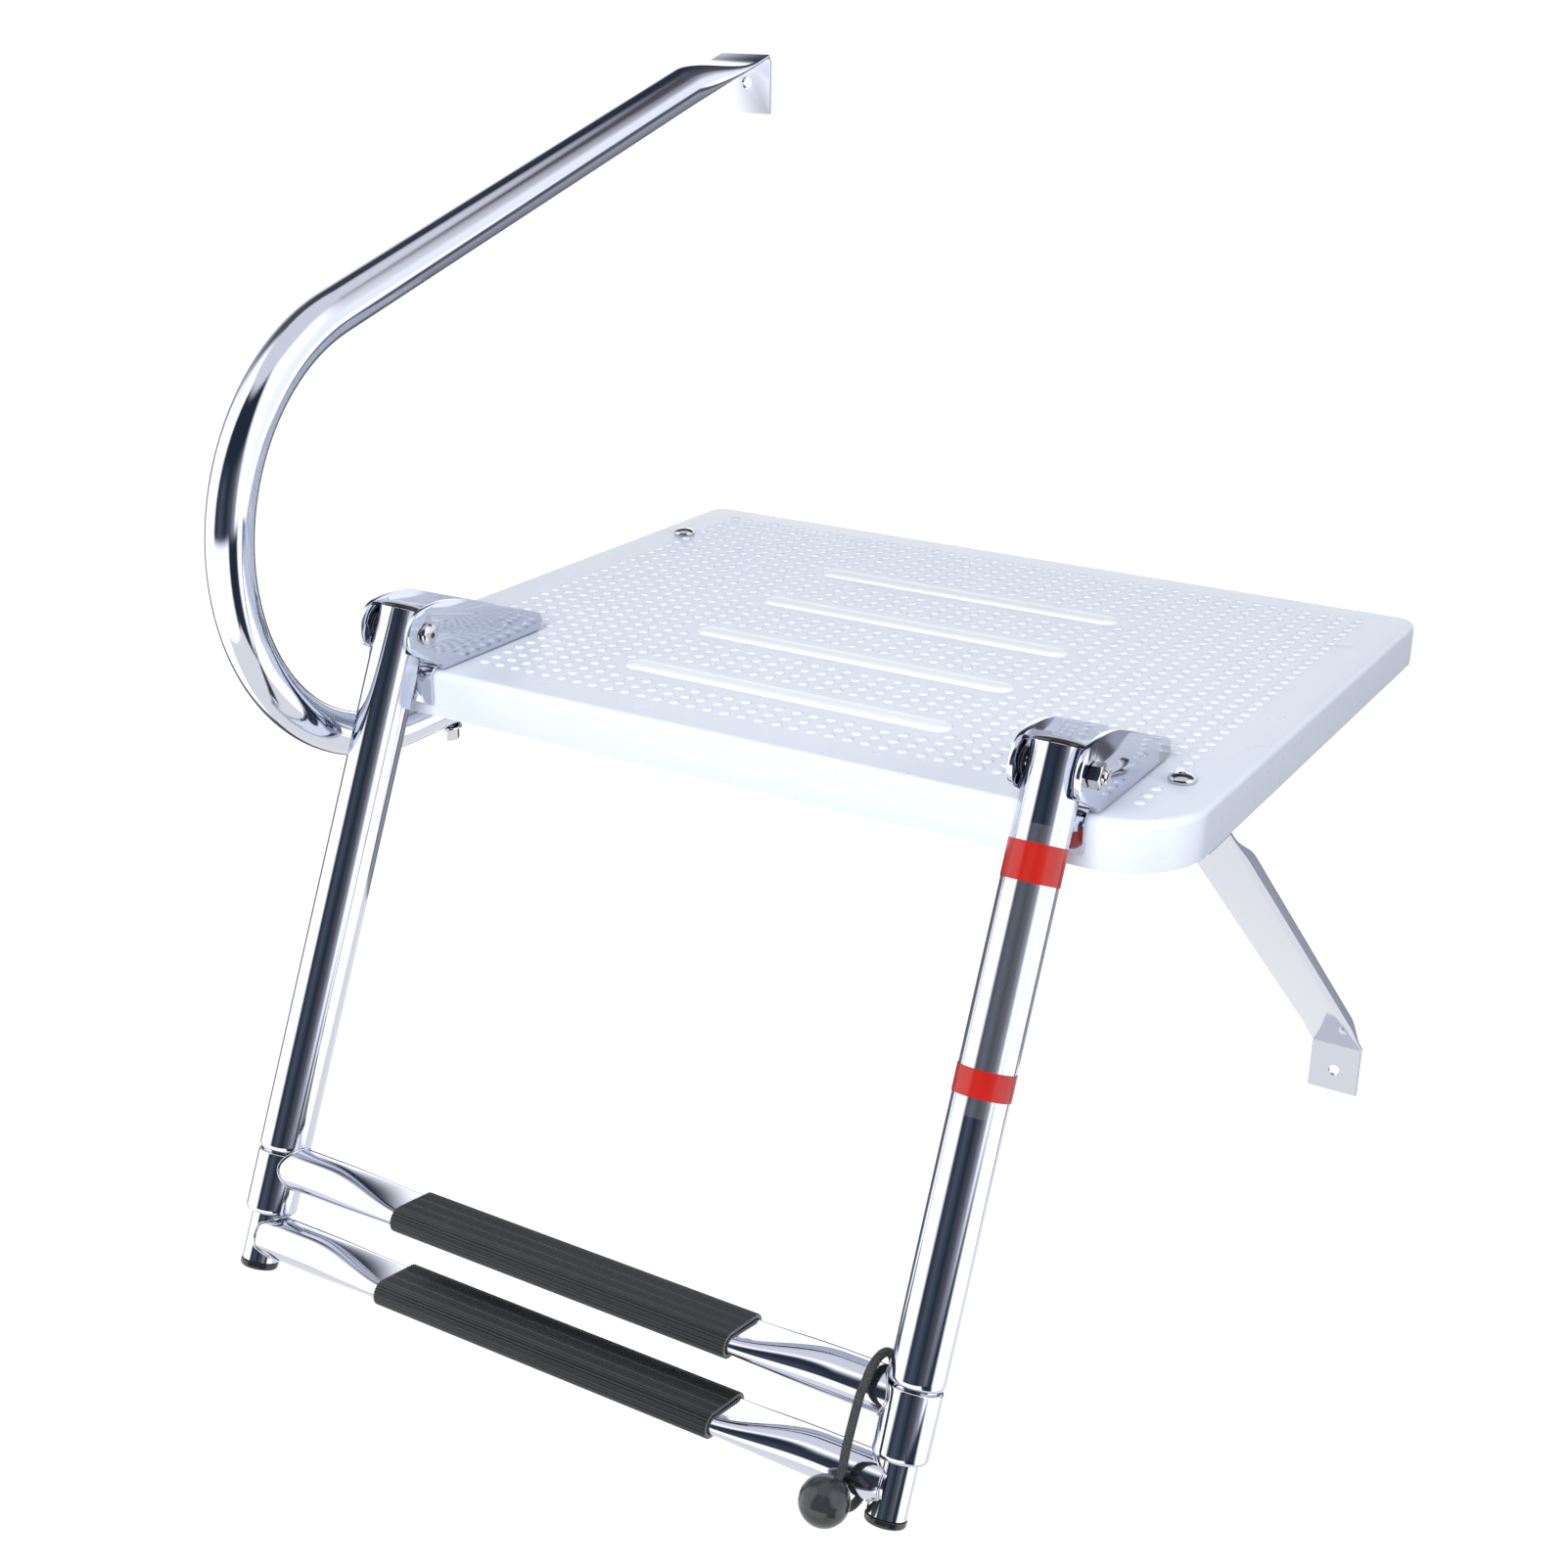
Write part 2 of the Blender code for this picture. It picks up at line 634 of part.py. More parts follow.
def make_strut():
    half = STRUT_WIDTH / 2
    web = extruded("support_strut", sheet_outline(strut_path(), STRUT_SHEET), STRUT_X - half, STRUT_X + half)
    strut = add_object("support_strut", web, None, STEEL_MATERIAL)
    for side in (-1, 1):
        outer = STRUT_X + side * (half - GAP)
        inner = outer - side * STRUT_SHEET
        lip = extruded("lip", lip_outline(), min(inner, outer), max(inner, outer))
        boolean(strut, add_cutter(f"strut_lip_{side + 1}", lip), "UNION")
    reach = 6 * MM
    pad = (SIDE_X, BOLT_FRONT_Y)
    hole = cylinder_mesh("hole", HOLE_R, (*pad, STRUT_PAD_Z - reach), (*pad, STRUT_PAD_Z + reach), 16)
    boolean(strut, add_cutter("strut_pad_hole", hole))
    z = STRUT_FOOT_Z + 17 * MM
    hole = cylinder_mesh("hole", FLANGE_HOLE_R, (STRUT_X, -6 * MM, z), (STRUT_X, MM, z), 20)
    boolean(strut, add_cutter("strut_foot_hole", hole))


# ---------------------------------------------------------------- ladder


def make_outer_leg(name, x, parent):
    profile = [
        (OUTER_R, OUTER_TOP),
        (OUTER_R, OUTER_BOTTOM + 4 * MM),
        (OUTER_R - 0.5 * MM, OUTER_BOTTOM + 1.2 * MM),
        (OUTER_R - 1.6 * MM, OUTER_BOTTOM),
        (OUTER_LIP_R, OUTER_BOTTOM),
        (OUTER_LIP_R, OUTER_BOTTOM + 3 * MM),
        (OUTER_BORE_R, OUTER_BOTTOM + 4 * MM),
        (OUTER_BORE_R, OUTER_TOP),
    ]
    leg = turned("outer_leg_" + name, profile, parent, STEEL_MATERIAL, (x, 0, 0))
    bore = cylinder_mesh("hole", HOLE_R, (x - 20 * MM, 0, 0), (x + 20 * MM, 0, 0), 20)
    boolean(leg, add_cutter(f"outer_leg_{name}_hole", bore, parent))
    rim = OUTER_TOP + GAP
    profile = [
        (0, rim + 4 * MM),
        (7 * MM, rim + 3.5 * MM),
        (12.5 * MM, rim + 2.2 * MM),
        (OUTER_R - 0.4 * MM, rim + 0.6 * MM),
        (OUTER_R - 0.4 * MM, rim),
        (OUTER_BORE_R - GAP, rim),
        (OUTER_BORE_R - GAP, rim - 6 * MM),
        (0, rim - 6 * MM),
    ]
    turned("leg_plug_" + name, profile, parent, PLUG_MATERIAL, (x, 0, 0))


def make_middle_leg(name, x, parent):
    top = COLLAR_BOTTOM + 38.5 * MM
    tube = ring_profile(MIDDLE_R, MIDDLE_BORE_R, COLLAR_BOTTOM + 3 * MM + GAP, MIDDLE_TOP)
    turned("middle_leg_" + name, tube, parent, STEEL_MATERIAL, (x, 0, 0))
    collar = [
        (MIDDLE_R + 1.4 * MM, top),
        (COLLAR_R, top - 1.2 * MM),
        (COLLAR_R, COLLAR_BOTTOM + 4 * MM),
        (COLLAR_R - 0.9 * MM, COLLAR_BOTTOM + 1.2 * MM),
        (COLLAR_R - 2.4 * MM, COLLAR_BOTTOM),
        (COLLAR_LIP_R, COLLAR_BOTTOM),
        (COLLAR_LIP_R, COLLAR_BOTTOM + 3 * MM),
        (MIDDLE_R + GAP, COLLAR_BOTTOM + 3 * MM),
        (MIDDLE_R + GAP, top),
    ]
    turned("collar_" + name, collar, parent, STEEL_MATERIAL, (x, 0, 0))
    bush = ring_profile(OUTER_BORE_R - GAP, MIDDLE_BORE_R, MIDDLE_TOP + GAP, MIDDLE_TOP + GUIDE)
    turned("guide_bush_" + name, bush, parent, NYLON_MATERIAL, (x, 0, 0), steps=20)


def make_inner_leg(name, x, parent):
    tube = ring_profile(INNER_R, INNER_BORE_R, INNER_BOTTOM, INNER_TOP)
    turned("inner_leg_" + name, tube, parent, STEEL_MATERIAL, (x, 0, 0))
    rim = INNER_BOTTOM - GAP
    cap = [
        (0, rim + 8 * MM),
        (INNER_BORE_R - GAP, rim + 8 * MM),
        (INNER_BORE_R - GAP, rim),
        (INNER_R + 0.5 * MM, rim),
        (INNER_R + 0.5 * MM, rim - 3 * MM),
        (INNER_R - MM, rim - 4.4 * MM),
        (0, rim - 4.7 * MM),
    ]
    turned("end_cap_" + name, cap, parent, PLUG_MATERIAL, (x, 0, 0), steps=20)
    plug = [
        (0, INNER_TOP + GUIDE),
        (MIDDLE_BORE_R - GAP, INNER_TOP + GUIDE),
        (MIDDLE_BORE_R - GAP, INNER_TOP + GAP),
        (0, INNER_TOP + GAP),
    ]
    turned("guide_plug_" + name, plug, parent, NYLON_MATERIAL, (x, 0, 0), steps=20)


def levelled(point):
    """A point of a step's section turned so that the tread leans with the real one."""
    width, height = point
    return (
        width * cos(TREAD_LEVEL) - height * sin(TREAD_LEVEL),
        width * sin(TREAD_LEVEL) + height * cos(TREAD_LEVEL),
    )


def step_rings(radius, flat, reach):
    """Rings along X: round at the legs and pressed flat under the tread."""
    flat_x = TREAD_LENGTH / 2 - 6 * MM
    round_x = LEG_X - OUTER_R - 6 * MM
    stations = [reach]
    stations += [flat_x + (round_x - flat_x) * i / 5 for i in range(5, -1, -1)]
    stations += [-x for x in reversed(stations)]
    rings = []
    for x in stations:
        share = (abs(x) - flat_x) / (round_x - flat_x)
        half = flat + (radius * 0.999 - flat) * ease(min(max(share, 0), 1))
        rings.append([(x, *levelled(point)) for point in pressed_section(radius, half)])
    return rings


def make_step(number, parent, height, leg_r):
    """A step tube with saddle-cut ends and its ribbed tread, at a height along the legs."""
    name = f"step_{number}_tube"
    tube = add_object(name, loft(name, step_rings(STEP_R, STEP_FLAT, LEG_X)), parent, STEEL_MATERIAL)
    tube.location = (0, 0, height)
    bore_mesh = loft("bore", step_rings(STEP_R - STEP_WALL, STEP_FLAT - STEP_WALL, LEG_X + MM))
    bore = add_cutter(name + "_bore", bore_mesh, parent)
    bore.location = (0, 0, height)
    boolean(tube, bore)
    for side in (-1, 1):
        x = side * LEG_X
        reach = 2 * STEP_R
        saddle = add_cutter(
            f"{name}_saddle_{side + 1}",
            cylinder_mesh("saddle", leg_r + 1.2 * GAP, (x, 0, height - reach), (x, 0, height + reach), ROUND),
            parent,
        )
        boolean(tube, saddle)
        boolean(
            tube,
            add_cutter(
                f"{name}_trim_{side + 1}",
                box_mesh(
                    "trim",
                    (min(x, x + side * 0.1), -reach, height - reach),
                    (max(x, x + side * 0.1), reach, height + reach),
                ),
                parent,
            ),
        )
    tread = add_object(f"step_{number}_tread", tread_mesh(), parent, BLACK_MATERIAL)
    tread.location = (0, 0, height)


def tread_side(inset):
    """The front half of the tread's section, top to bottom, as (forward, up) points."""
    straight = (2 * pi * STEP_R - 2 * pi * STEP_FLAT) / 4
    radius = STEP_FLAT + 2 * GAP + TREAD_WALL - inset
    return arc((straight, 0), radius, pi / 2, -pi / 2, 8)


def tread_mesh():
    """An extruded C that wraps the pressed tube and is open beneath."""
    lip = 6 * MM
    outer = tread_side(0)
    inner = tread_side(TREAD_WALL)
    outer.append((outer[-1][0] - lip, outer[-1][1]))
    inner.append((inner[-1][0] - lip, inner[-1][1]))
    mirrored_outer = [(-forward, up) for forward, up in reversed(outer)]
    mirrored_inner = [(-forward, up) for forward, up in inner]
    outline = mirrored_outer + outer + list(reversed(inner)) + mirrored_inner
    return extruded("tread", [levelled(point) for point in outline], -TREAD_LENGTH / 2, TREAD_LENGTH / 2)


# ---------------------------------------------------------------- retaining cord


def cord_loop():
    """The loop's centre line in the ladder's own frame: (y, z) points from the ball round both steps."""
    reach = STEP_R + CORD_R + 3 * GAP
    start = (BALL_Y + 4 * MM, BALL_Z + BALL_R + 2 * MM)
    front = [start, (-reach - 6.5 * MM, STEP_2 + 18 * MM), (-reach - 4.5 * MM, STEP_1 - 2 * MM)]
    over = arc((0, STEP_1 + MM), reach + 1.5 * MM, radians(165), radians(15), 8)
    back = [(reach + MM, STEP_1 - 8 * MM), (reach + MM, STEP_2 + 8 * MM)]
    under = arc((0, STEP_2 - 3 * MM), reach + MM, radians(-10), radians(-115), 6)
    return front + over + back + under


def make_cord(parent):
    curve = bpy.data.curves.new("retaining_cord", "CURVE")
    curve.dimensions = "3D"
    curve.bevel_depth = CORD_R
    curve.bevel_resolution = 2
    curve.use_fill_caps = True
    spline = curve.splines.new("POLY")
    points = cord_loop()
    spline.points.add(len(points) - 1)
    for point, (y, z) in zip(spline.points, points):
        point.co = (CORD_X, y, z, 1)
    cord = bpy.data.objects.new("retaining_cord", curve)
    PARTS.objects.link(cord)
    cord.parent = parent
    curve.materials.append(CORD_MATERIAL)


def make_ball(parent):
    bm = bmesh.new()
    bmesh.ops.create_uvsphere(bm, u_segments=20, v_segments=12, radius=BALL_R)
    ball = add_object("cord_ball", mesh_from(bm, "cord_ball"), parent, BALL_MATERIAL)
    ball.location = (CORD_X - 4 * MM, BALL_Y, BALL_Z)


def make_ladder():
    fold = add_empty("ladder_fold", (0, PIVOT_Y, PIVOT_Z), (-LADDER_TILT, 0, 0))
    middle = add_empty("middle_slide", parent=fold)
    lower = add_empty("lower_slide", parent=middle)
    for name, x in (("left", -LEG_X), ("right", LEG_X)):
        make_outer_leg(name, x, fold)
        make_middle_leg(name, x, middle)
        make_inner_leg(name, x, lower)
    make_step(1, middle, STEP_1, OUTER_R)
    make_step(2, lower, STEP_2, INNER_R)
    make_cord(lower)
    make_ball(lower)


make_deck()
make_bracket("hinge_bracket_left", -LEG_X)
make_bracket("hinge_bracket_right", LEG_X)
make_deck_fasteners()
make_base_bolts()
make_pivot_bolts()
make_rail()
make_strut()
make_ladder()
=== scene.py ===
import json
from math import acos, atan2, cos, hypot, pi, radians, sin, tan

import bmesh
import bpy
from mathutils import Matrix, Vector

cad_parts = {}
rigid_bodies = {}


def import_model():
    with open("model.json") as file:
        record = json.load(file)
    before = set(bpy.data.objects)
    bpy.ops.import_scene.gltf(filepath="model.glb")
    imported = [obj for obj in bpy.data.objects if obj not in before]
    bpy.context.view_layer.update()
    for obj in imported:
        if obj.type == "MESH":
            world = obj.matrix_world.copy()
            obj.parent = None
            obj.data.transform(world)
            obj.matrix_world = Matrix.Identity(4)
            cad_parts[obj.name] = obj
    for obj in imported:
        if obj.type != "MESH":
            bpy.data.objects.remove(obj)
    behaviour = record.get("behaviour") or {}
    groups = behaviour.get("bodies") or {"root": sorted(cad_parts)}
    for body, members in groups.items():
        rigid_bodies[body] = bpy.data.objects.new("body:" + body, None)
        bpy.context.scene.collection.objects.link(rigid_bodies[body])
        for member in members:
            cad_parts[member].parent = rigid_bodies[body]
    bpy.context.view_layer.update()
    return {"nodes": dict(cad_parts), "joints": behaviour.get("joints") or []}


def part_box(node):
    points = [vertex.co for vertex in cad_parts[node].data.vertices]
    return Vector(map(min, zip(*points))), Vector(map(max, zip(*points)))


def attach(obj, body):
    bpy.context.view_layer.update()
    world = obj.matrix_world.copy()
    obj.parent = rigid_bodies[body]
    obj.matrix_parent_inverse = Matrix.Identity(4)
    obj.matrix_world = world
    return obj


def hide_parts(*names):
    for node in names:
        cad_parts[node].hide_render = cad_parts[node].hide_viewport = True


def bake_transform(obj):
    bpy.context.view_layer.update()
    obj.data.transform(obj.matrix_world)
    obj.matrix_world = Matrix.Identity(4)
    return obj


for leftover in list(bpy.data.objects):
    bpy.data.objects.remove(leftover, do_unlink=True)

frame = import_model()

MM = 0.001
GAP = 0.3 * MM

JOINTS = {joint["name"]: joint for joint in frame["joints"]}
PIVOT = Vector(JOINTS["ladder_fold"]["pos_m"])
SLIDE = Vector(JOINTS["middle_slide"]["axis"])
TILT = atan2(-SLIDE.y, -SLIDE.z)
LADDER = Matrix.Translation(PIVOT) @ Matrix.Rotation(-TILT, 4, "X")

# Deck.
DECK_LOW, DECK_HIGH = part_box("deck_panel")
DECK_TOP = DECK_HIGH.z
DECK_EDGE = 5 * MM
DECK_WALL = 3.5 * MM
CORNER_FRONT = 50 * MM
CORNER_REAR = 14 * MM
DOT_PITCH = 12.1 * MM
DOT_COLUMNS = 43
DOT_ROWS = 34
DOT_FIRST_Y = -28.6 * MM
DOT_R = 3.5 * MM
DOT_HEIGHT = 1.3 * MM
RIB_ROWS = (8, 15, 22, 29)
RIB_HALF_LENGTH = 116 * MM
RIB_HALF_WIDTH = 9 * MM
RIB_HEIGHT = 2.8 * MM

# Hinges.
LEG_X = 223 * MM
SHEET = 3 * MM
EAR_GAP = 35 * MM
EAR_HEAD = 17 * MM
EAR_HEAD_END = radians(98)
EAR_CROWN_R = 90 * MM
EAR_SLOPE = radians(20.3)
EAR_TIP_R = 6 * MM
EAR_REAR_Y = -355.6 * MM
TAB_WIDTH = 30 * MM
TAB_BOTTOM = DECK_TOP - 21 * MM

# Ladder, in its own frame: Z runs up the legs from the pivot.
OUTER_R = 15.9 * MM
OUTER_BORE_R = 14.5 * MM
OUTER_LIP_R = 13.8 * MM
OUTER_TOP = 12 * MM
OUTER_BOTTOM = -334 * MM
MIDDLE_R = 13.5 * MM
MIDDLE_BORE_R = 12.3 * MM
MIDDLE_TOP = -80 * MM
COLLAR_R = 15.7 * MM
COLLAR_TOP = -335.5 * MM
COLLAR_BOTTOM = -374 * MM
COLLAR_LIP_R = 11.5 * MM
INNER_R = 11.1 * MM
INNER_BORE_R = 9.9 * MM
INNER_TOP = -121 * MM
INNER_BOTTOM = -405 * MM
STEP_R = 13.2 * MM
STEP_WALL = 1.3 * MM
STEP_FLAT = 5 * MM
STEP_SWELL = 1.3
STEP_1 = -343 * MM
STEP_2 = -388 * MM
TREAD_LENGTH = 235 * MM
TREAD_WALL = 2.4 * MM
TREAD_LEVEL = radians(14)
TREAD_RIB_PITCH = 1.9 * MM
TREAD_RIB_DEPTH = 0.6 * MM
CORD_X = 202 * MM
CORD_R = 2.5 * MM
BALL_R = 13.9 * MM
BALL_CENTRE = Vector((198 * MM, -26.7 * MM, STEP_2 - 13.4 * MM))
SLEEVE = (-31 * MM, -188 * MM)
SLEEVE_BANDS = ((-41 * MM, -62 * MM), (-163 * MM, -178 * MM))

# Handrail and strut.
SIDE_X = 262 * MM
RAIL_R = 14.3 * MM
RAIL_WALL = 1.5 * MM
RAIL_LOW_Z = -39.5 * MM
RAIL_BEND_R = 140.7 * MM
RAIL_SLOPE = radians(16.3)
RAIL_REAR_Y = -30 * MM
RAIL_TOP_Z = 367.45 * MM
RAIL_DROP = 5.2 * MM
FLANGE_HEIGHT = 41.5 * MM
FLANGE_BEND_R = 4 * MM
FLANGE_HOLE_DROP = 19.5 * MM
FLANGE_HOLE_R = 4.25 * MM
FLAT_RUN = 14 * MM
SWELL_RUN = 75 * MM
PRESSED = 1.7 * MM
STRUT_X = 268.5 * MM
STRUT_WIDTH = 38 * MM
STRUT_SHEET = 2.5 * MM
STRUT_SLOPE = radians(39.9)
STRUT_LIP = 7 * MM
STRUT_PAD_Z = -16.8 * MM
STRUT_PAD_Y = -404 * MM
STRUT_FOOT_Z = -363 * MM
STRUT_RUN_TOP_Y = -368.5 * MM
STRUT_FADE = 55 * MM
STRUT_BEND_R = 5 * MM
STRUT_HOLE_RISE = 17 * MM

# Fasteners. Each head is its radius and height.
BOLT_R = 4 * MM
HOLE_R = 4.3 * MM
DECK_HEAD = (8 * MM, 4.8 * MM)
BASE_HEAD = (6.5 * MM, 3.6 * MM)
PIVOT_HEAD = (7 * MM, 4.4 * MM)
WASHER_R = 9 * MM
SPACER_R = 10 * MM
PIVOT_WASHER_R = 8 * MM
BOLT_FRONT_Y = -385.5 * MM
BOLT_REAR_Y = -91.5 * MM
BASE_BOLT_Y = {"rear": -380 * MM, "front": -432 * MM}
NUT_FLATS = 13 * MM

# Camera and stage.
CAMERA_PLACE = Vector((0.632, -1.447, 0.443))
CAMERA_AXES = Matrix(
    (
        (0.85843, -0.19784, 0.47324),
        (0.51277, 0.30774, -0.80148),
        (0.01293, 0.93067, 0.36562),
    )
)
CAMERA_LENS = 48.81
FLOOR_Z = -0.95
FLOOR_CORNERS = ((-0.9, -1.6), (0.9, -1.6), (0.9, 0.9), (-0.9, 0.9))

# Points round a turned piece, a tube's section and a bore.
FINE = 96
TUBE = 64
COARSE = 32


# --- meshes


def mesh_from(bm, name, smooth_angle=radians(32)):
    bmesh.ops.recalc_face_normals(bm, faces=bm.faces)
    mesh = bpy.data.meshes.new(name)
    bm.to_mesh(mesh)
    bm.free()
    mesh.shade_smooth()
    mesh.set_sharp_from_angle(angle=smooth_angle)
    return mesh


def arc(centre, radius, start, end, count):
    return [
        (
            centre[0] + radius * cos(start + (end - start) * i / count),
            centre[1] + radius * sin(start + (end - start) * i / count),
        )
        for i in range(count + 1)
    ]


def quarter(steps, first=0):
    """Angles from zero to a right angle, for a rounded edge."""
    return [pi / 2 * i / steps for i in range(first, steps + 1)]


def soften(points, radii, steps=5):
    """A closed outline with each corner rounded by its own radius."""
    rounded = []
    count = len(points)
    for i, corner in enumerate(points):
        radius = radii[i] if isinstance(radii, (list, tuple)) else radii
        if radius <= 0:
            rounded.append(corner)
            continue
        here = Vector(corner)
        back = Vector(points[i - 1]) - here
        ahead = Vector(points[(i + 1) % count]) - here
        bend = pi - back.angle(ahead)
        reach = min(radius * tan(bend / 2), 0.45 * back.length, 0.45 * ahead.length)
        first = here + back.normalized() * reach
        last = here + ahead.normalized() * reach
        for k in range(steps + 1):
            t = k / steps
            point = first * (1 - t) ** 2 + here * 2 * t * (1 - t) + last * t**2
            rounded.append((point.x, point.y))
    return rounded


def loft(name, rings, closed=False, matrix=None, smooth_angle=radians(32)):
    """A solid through rings of equal point count, capped at both ends or joined end to end."""
    bm = bmesh.new()
    rows = [[bm.verts.new(point) for point in ring] for ring in rings]
    count = len(rows[0])
    pairs = list(zip(rows, rows[1:]))
    if closed:
        pairs.append((rows[-1], rows[0]))
    for lower, upper in pairs:
        for i in range(count):
            j = (i + 1) % count
            bm.faces.new((lower[i], lower[j], upper[j], upper[i]))
    if not closed:
        bm.faces.new(list(reversed(rows[0])))
        bm.faces.new(rows[-1])
    if matrix:
        bmesh.ops.transform(bm, matrix=matrix, verts=bm.verts)
    return mesh_from(bm, name, smooth_angle)


def lathe(name, profile, matrix=None, segments=FINE, smooth_angle=radians(32)):
    """A solid turned about Z from a closed outline, or from one whose ends lie on the axis."""
    bm = bmesh.new()
    rows = []
    for radius, z in profile:
        if radius < 1e-7:
            rows.append([bm.verts.new((0, 0, z))])
            continue
        turn = [2 * pi * i / segments for i in range(segments)]
        rows.append([bm.verts.new((radius * cos(a), radius * sin(a), z)) for a in turn])
    pairs = list(zip(rows, rows[1:]))
    if len(rows[0]) > 1:
        pairs.append((rows[-1], rows[0]))
    for upper, lower in pairs:
        for i in range(segments):
            j = (i + 1) % segments
            if len(upper) == 1:
                bm.faces.new((upper[0], lower[i], lower[j]))
            elif len(lower) == 1:
                bm.faces.new((upper[i], lower[0], upper[j]))
            else:
                bm.faces.new((upper[i], lower[i], lower[j], upper[j]))
    if matrix:
        bmesh.ops.transform(bm, matrix=matrix, verts=bm.verts)
    return mesh_from(bm, name, smooth_angle)


def prism(name, outline, low, high, axis="X", matrix=None):
    """A prism of a closed outline: (y, z) points along X, (x, z) along Y or (x, y) along Z."""
    places = {
        "X": lambda a, b, c: (c, a, b),
        "Y": lambda a, b, c: (a, c, b),
        "Z": lambda a, b, c: (a, b, c),
    }
    rings = [[places[axis](a, b, level) for a, b in outline] for level in (low, high)]
    return loft(name, rings, matrix=matrix)


def rod(radius, start, end, segments=48):
    start, end = Vector(start), Vector(end)
    turn = Vector((0, 0, 1)).rotation_difference(end - start).to_matrix().to_4x4()
    length = (end - start).length
    profile = [(0, length), (radius, length), (radius, 0), (0, 0)]
    return lathe("rod", profile, Matrix.Translation(start) @ turn, segments)


def solved(mesh, *changes):
    """The mesh after changes, each (Boolean operation, tool mesh) or ("BEVEL", width)."""
    body = bpy.data.objects.new("body", mesh)
    bpy.context.scene.collection.objects.link(body)
    helpers = [body]
    for operation, tool in changes:
        if operation == "BEVEL":
            bevel = body.modifiers.new("bevel", "BEVEL")
            bevel.width = tool
            bevel.segments = 2
            bevel.angle_limit = radians(38)
            continue
        helper = bpy.data.objects.new("helper", tool)
        bpy.context.scene.collection.objects.link(helper)
        helpers.append(helper)
        modifier = body.modifiers.new("cut", "BOOLEAN")
        modifier.operation = operation
        modifier.solver = "EXACT"
        modifier.object = helper
    graph = bpy.context.evaluated_depsgraph_get()
    result = bpy.data.meshes.new_from_object(body.evaluated_get(graph))
    result.name = mesh.name
    for helper in helpers:
        bpy.data.objects.remove(helper, do_unlink=True)
    result.shade_smooth()
    result.set_sharp_from_angle(angle=radians(32))
    return result


def sweep(name, points, radius, segments=20, closed=False, matrix=None):
    """A round tube along points, with its sections kept from twisting."""
    points = [Vector(point) for point in points]
    count = len(points)
    rings = []
    side = None
    for i, point in enumerate(points):
        before = points[i - 1] if closed or i else point
        after = points[(i + 1) % count] if closed or i < count - 1 else point
        along = (after - before).normalized()
        if side is None:
            side = along.orthogonal().normalized()
        side = (side - along * side.dot(along)).normalized()
        other = along.cross(side)
        turn = [2 * pi * k / segments for k in range(segments)]
        rings.append([point + side * radius * cos(a) + other * radius * sin(a) for a in turn])
    return loft(name, rings, closed, matrix)


def smooth_line(points, per_span=8):
    """Catmull-Rom points through an open line."""
    points = [Vector(point) for point in points]
    padded = [2 * points[0] - points[1], *points, 2 * points[-1] - points[-2]]
    line = []
    for a, b, c, d in zip(padded, padded[1:], padded[2:], padded[3:]):
        for k in range(per_span):
            t = k / per_span
            square = (2 * a - 5 * b + 4 * c - d) * t**2
            cube = (3 * b - a - 3 * c + d) * t**3
            line.append(0.5 * (2 * b + (c - a) * t + square + cube))
    line.append(points[-1])
    return line


def ease(fraction):
    fraction = min(max(fraction, 0), 1)
    return (1 - cos(pi * fraction)) / 2


def pressed_section(radius, half_thickness, count=TUBE):
    """A round tube's section pressed to a stadium of the same perimeter: (width, thickness) points."""
    straight = (2 * pi * radius - 2 * pi * half_thickness) / 4
    points = []
    for i in range(count):
        angle = 2 * pi * (i + 0.5) / count
        side = straight if cos(angle) > 0 else -straight
        points.append((side + half_thickness * cos(angle), half_thickness * sin(angle)))
    return points


# --- materials


def new_material(name, colour, roughness, metallic=0.0, **more):
    """A Principled material and its node tree; more sets other inputs by name, with _ for a space."""
    material = bpy.data.materials.new(name)
    material.use_nodes = True
    tree = material.node_tree
    shader = tree.nodes["Principled BSDF"]
    shader.inputs["Base Color"].default_value = (*colour, 1)
    shader.inputs["Roughness"].default_value = roughness
    shader.inputs["Metallic"].default_value = metallic
    for label, value in more.items():
        shader.inputs[label.replace("_", " ")].default_value = value
    return material, tree, shader


def noise(tree, scale, detail=3.0, stretch=(1, 1, 1)):
    """Noise in the piece's own space, stretched along an axis where wanted."""
    place = tree.nodes.new("ShaderNodeTexCoord")
    mapping = tree.nodes.new("ShaderNodeMapping")
    mapping.inputs["Scale"].default_value = stretch
    texture = tree.nodes.new("ShaderNodeTexNoise")
    texture.inputs["Scale"].default_value = scale
    texture.inputs["Detail"].default_value = detail
    tree.links.new(place.outputs["Object"], mapping.inputs["Vector"])
    tree.links.new(mapping.outputs["Vector"], texture.inputs["Vector"])
    return texture.outputs["Fac"]


def spread(tree, source, low, high, label):
    """Links a noise to one of the shader's inputs, between two values."""
    span = tree.nodes.new("ShaderNodeMapRange")
    span.inputs["From Min"].default_value = 0.3
    span.inputs["From Max"].default_value = 0.7
    span.inputs["To Min"].default_value = low
    span.inputs["To Max"].default_value = high
    tree.links.new(source, span.inputs["Value"])
    tree.links.new(span.outputs["Result"], tree.nodes["Principled BSDF"].inputs[label])


def tint(tree, source, dark, light):
    """Colour that varies between two tones with a noise."""
    ramp = tree.nodes.new("ShaderNodeValToRGB")
    ramp.color_ramp.elements[0].position = 0.3
    ramp.color_ramp.elements[0].color = (*dark, 1)
    ramp.color_ramp.elements[1].position = 0.7
    ramp.color_ramp.elements[1].color = (*light, 1)
    tree.links.new(source, ramp.inputs["Fac"])
    tree.links.new(ramp.outputs["Color"], tree.nodes["Principled BSDF"].inputs["Base Color"])


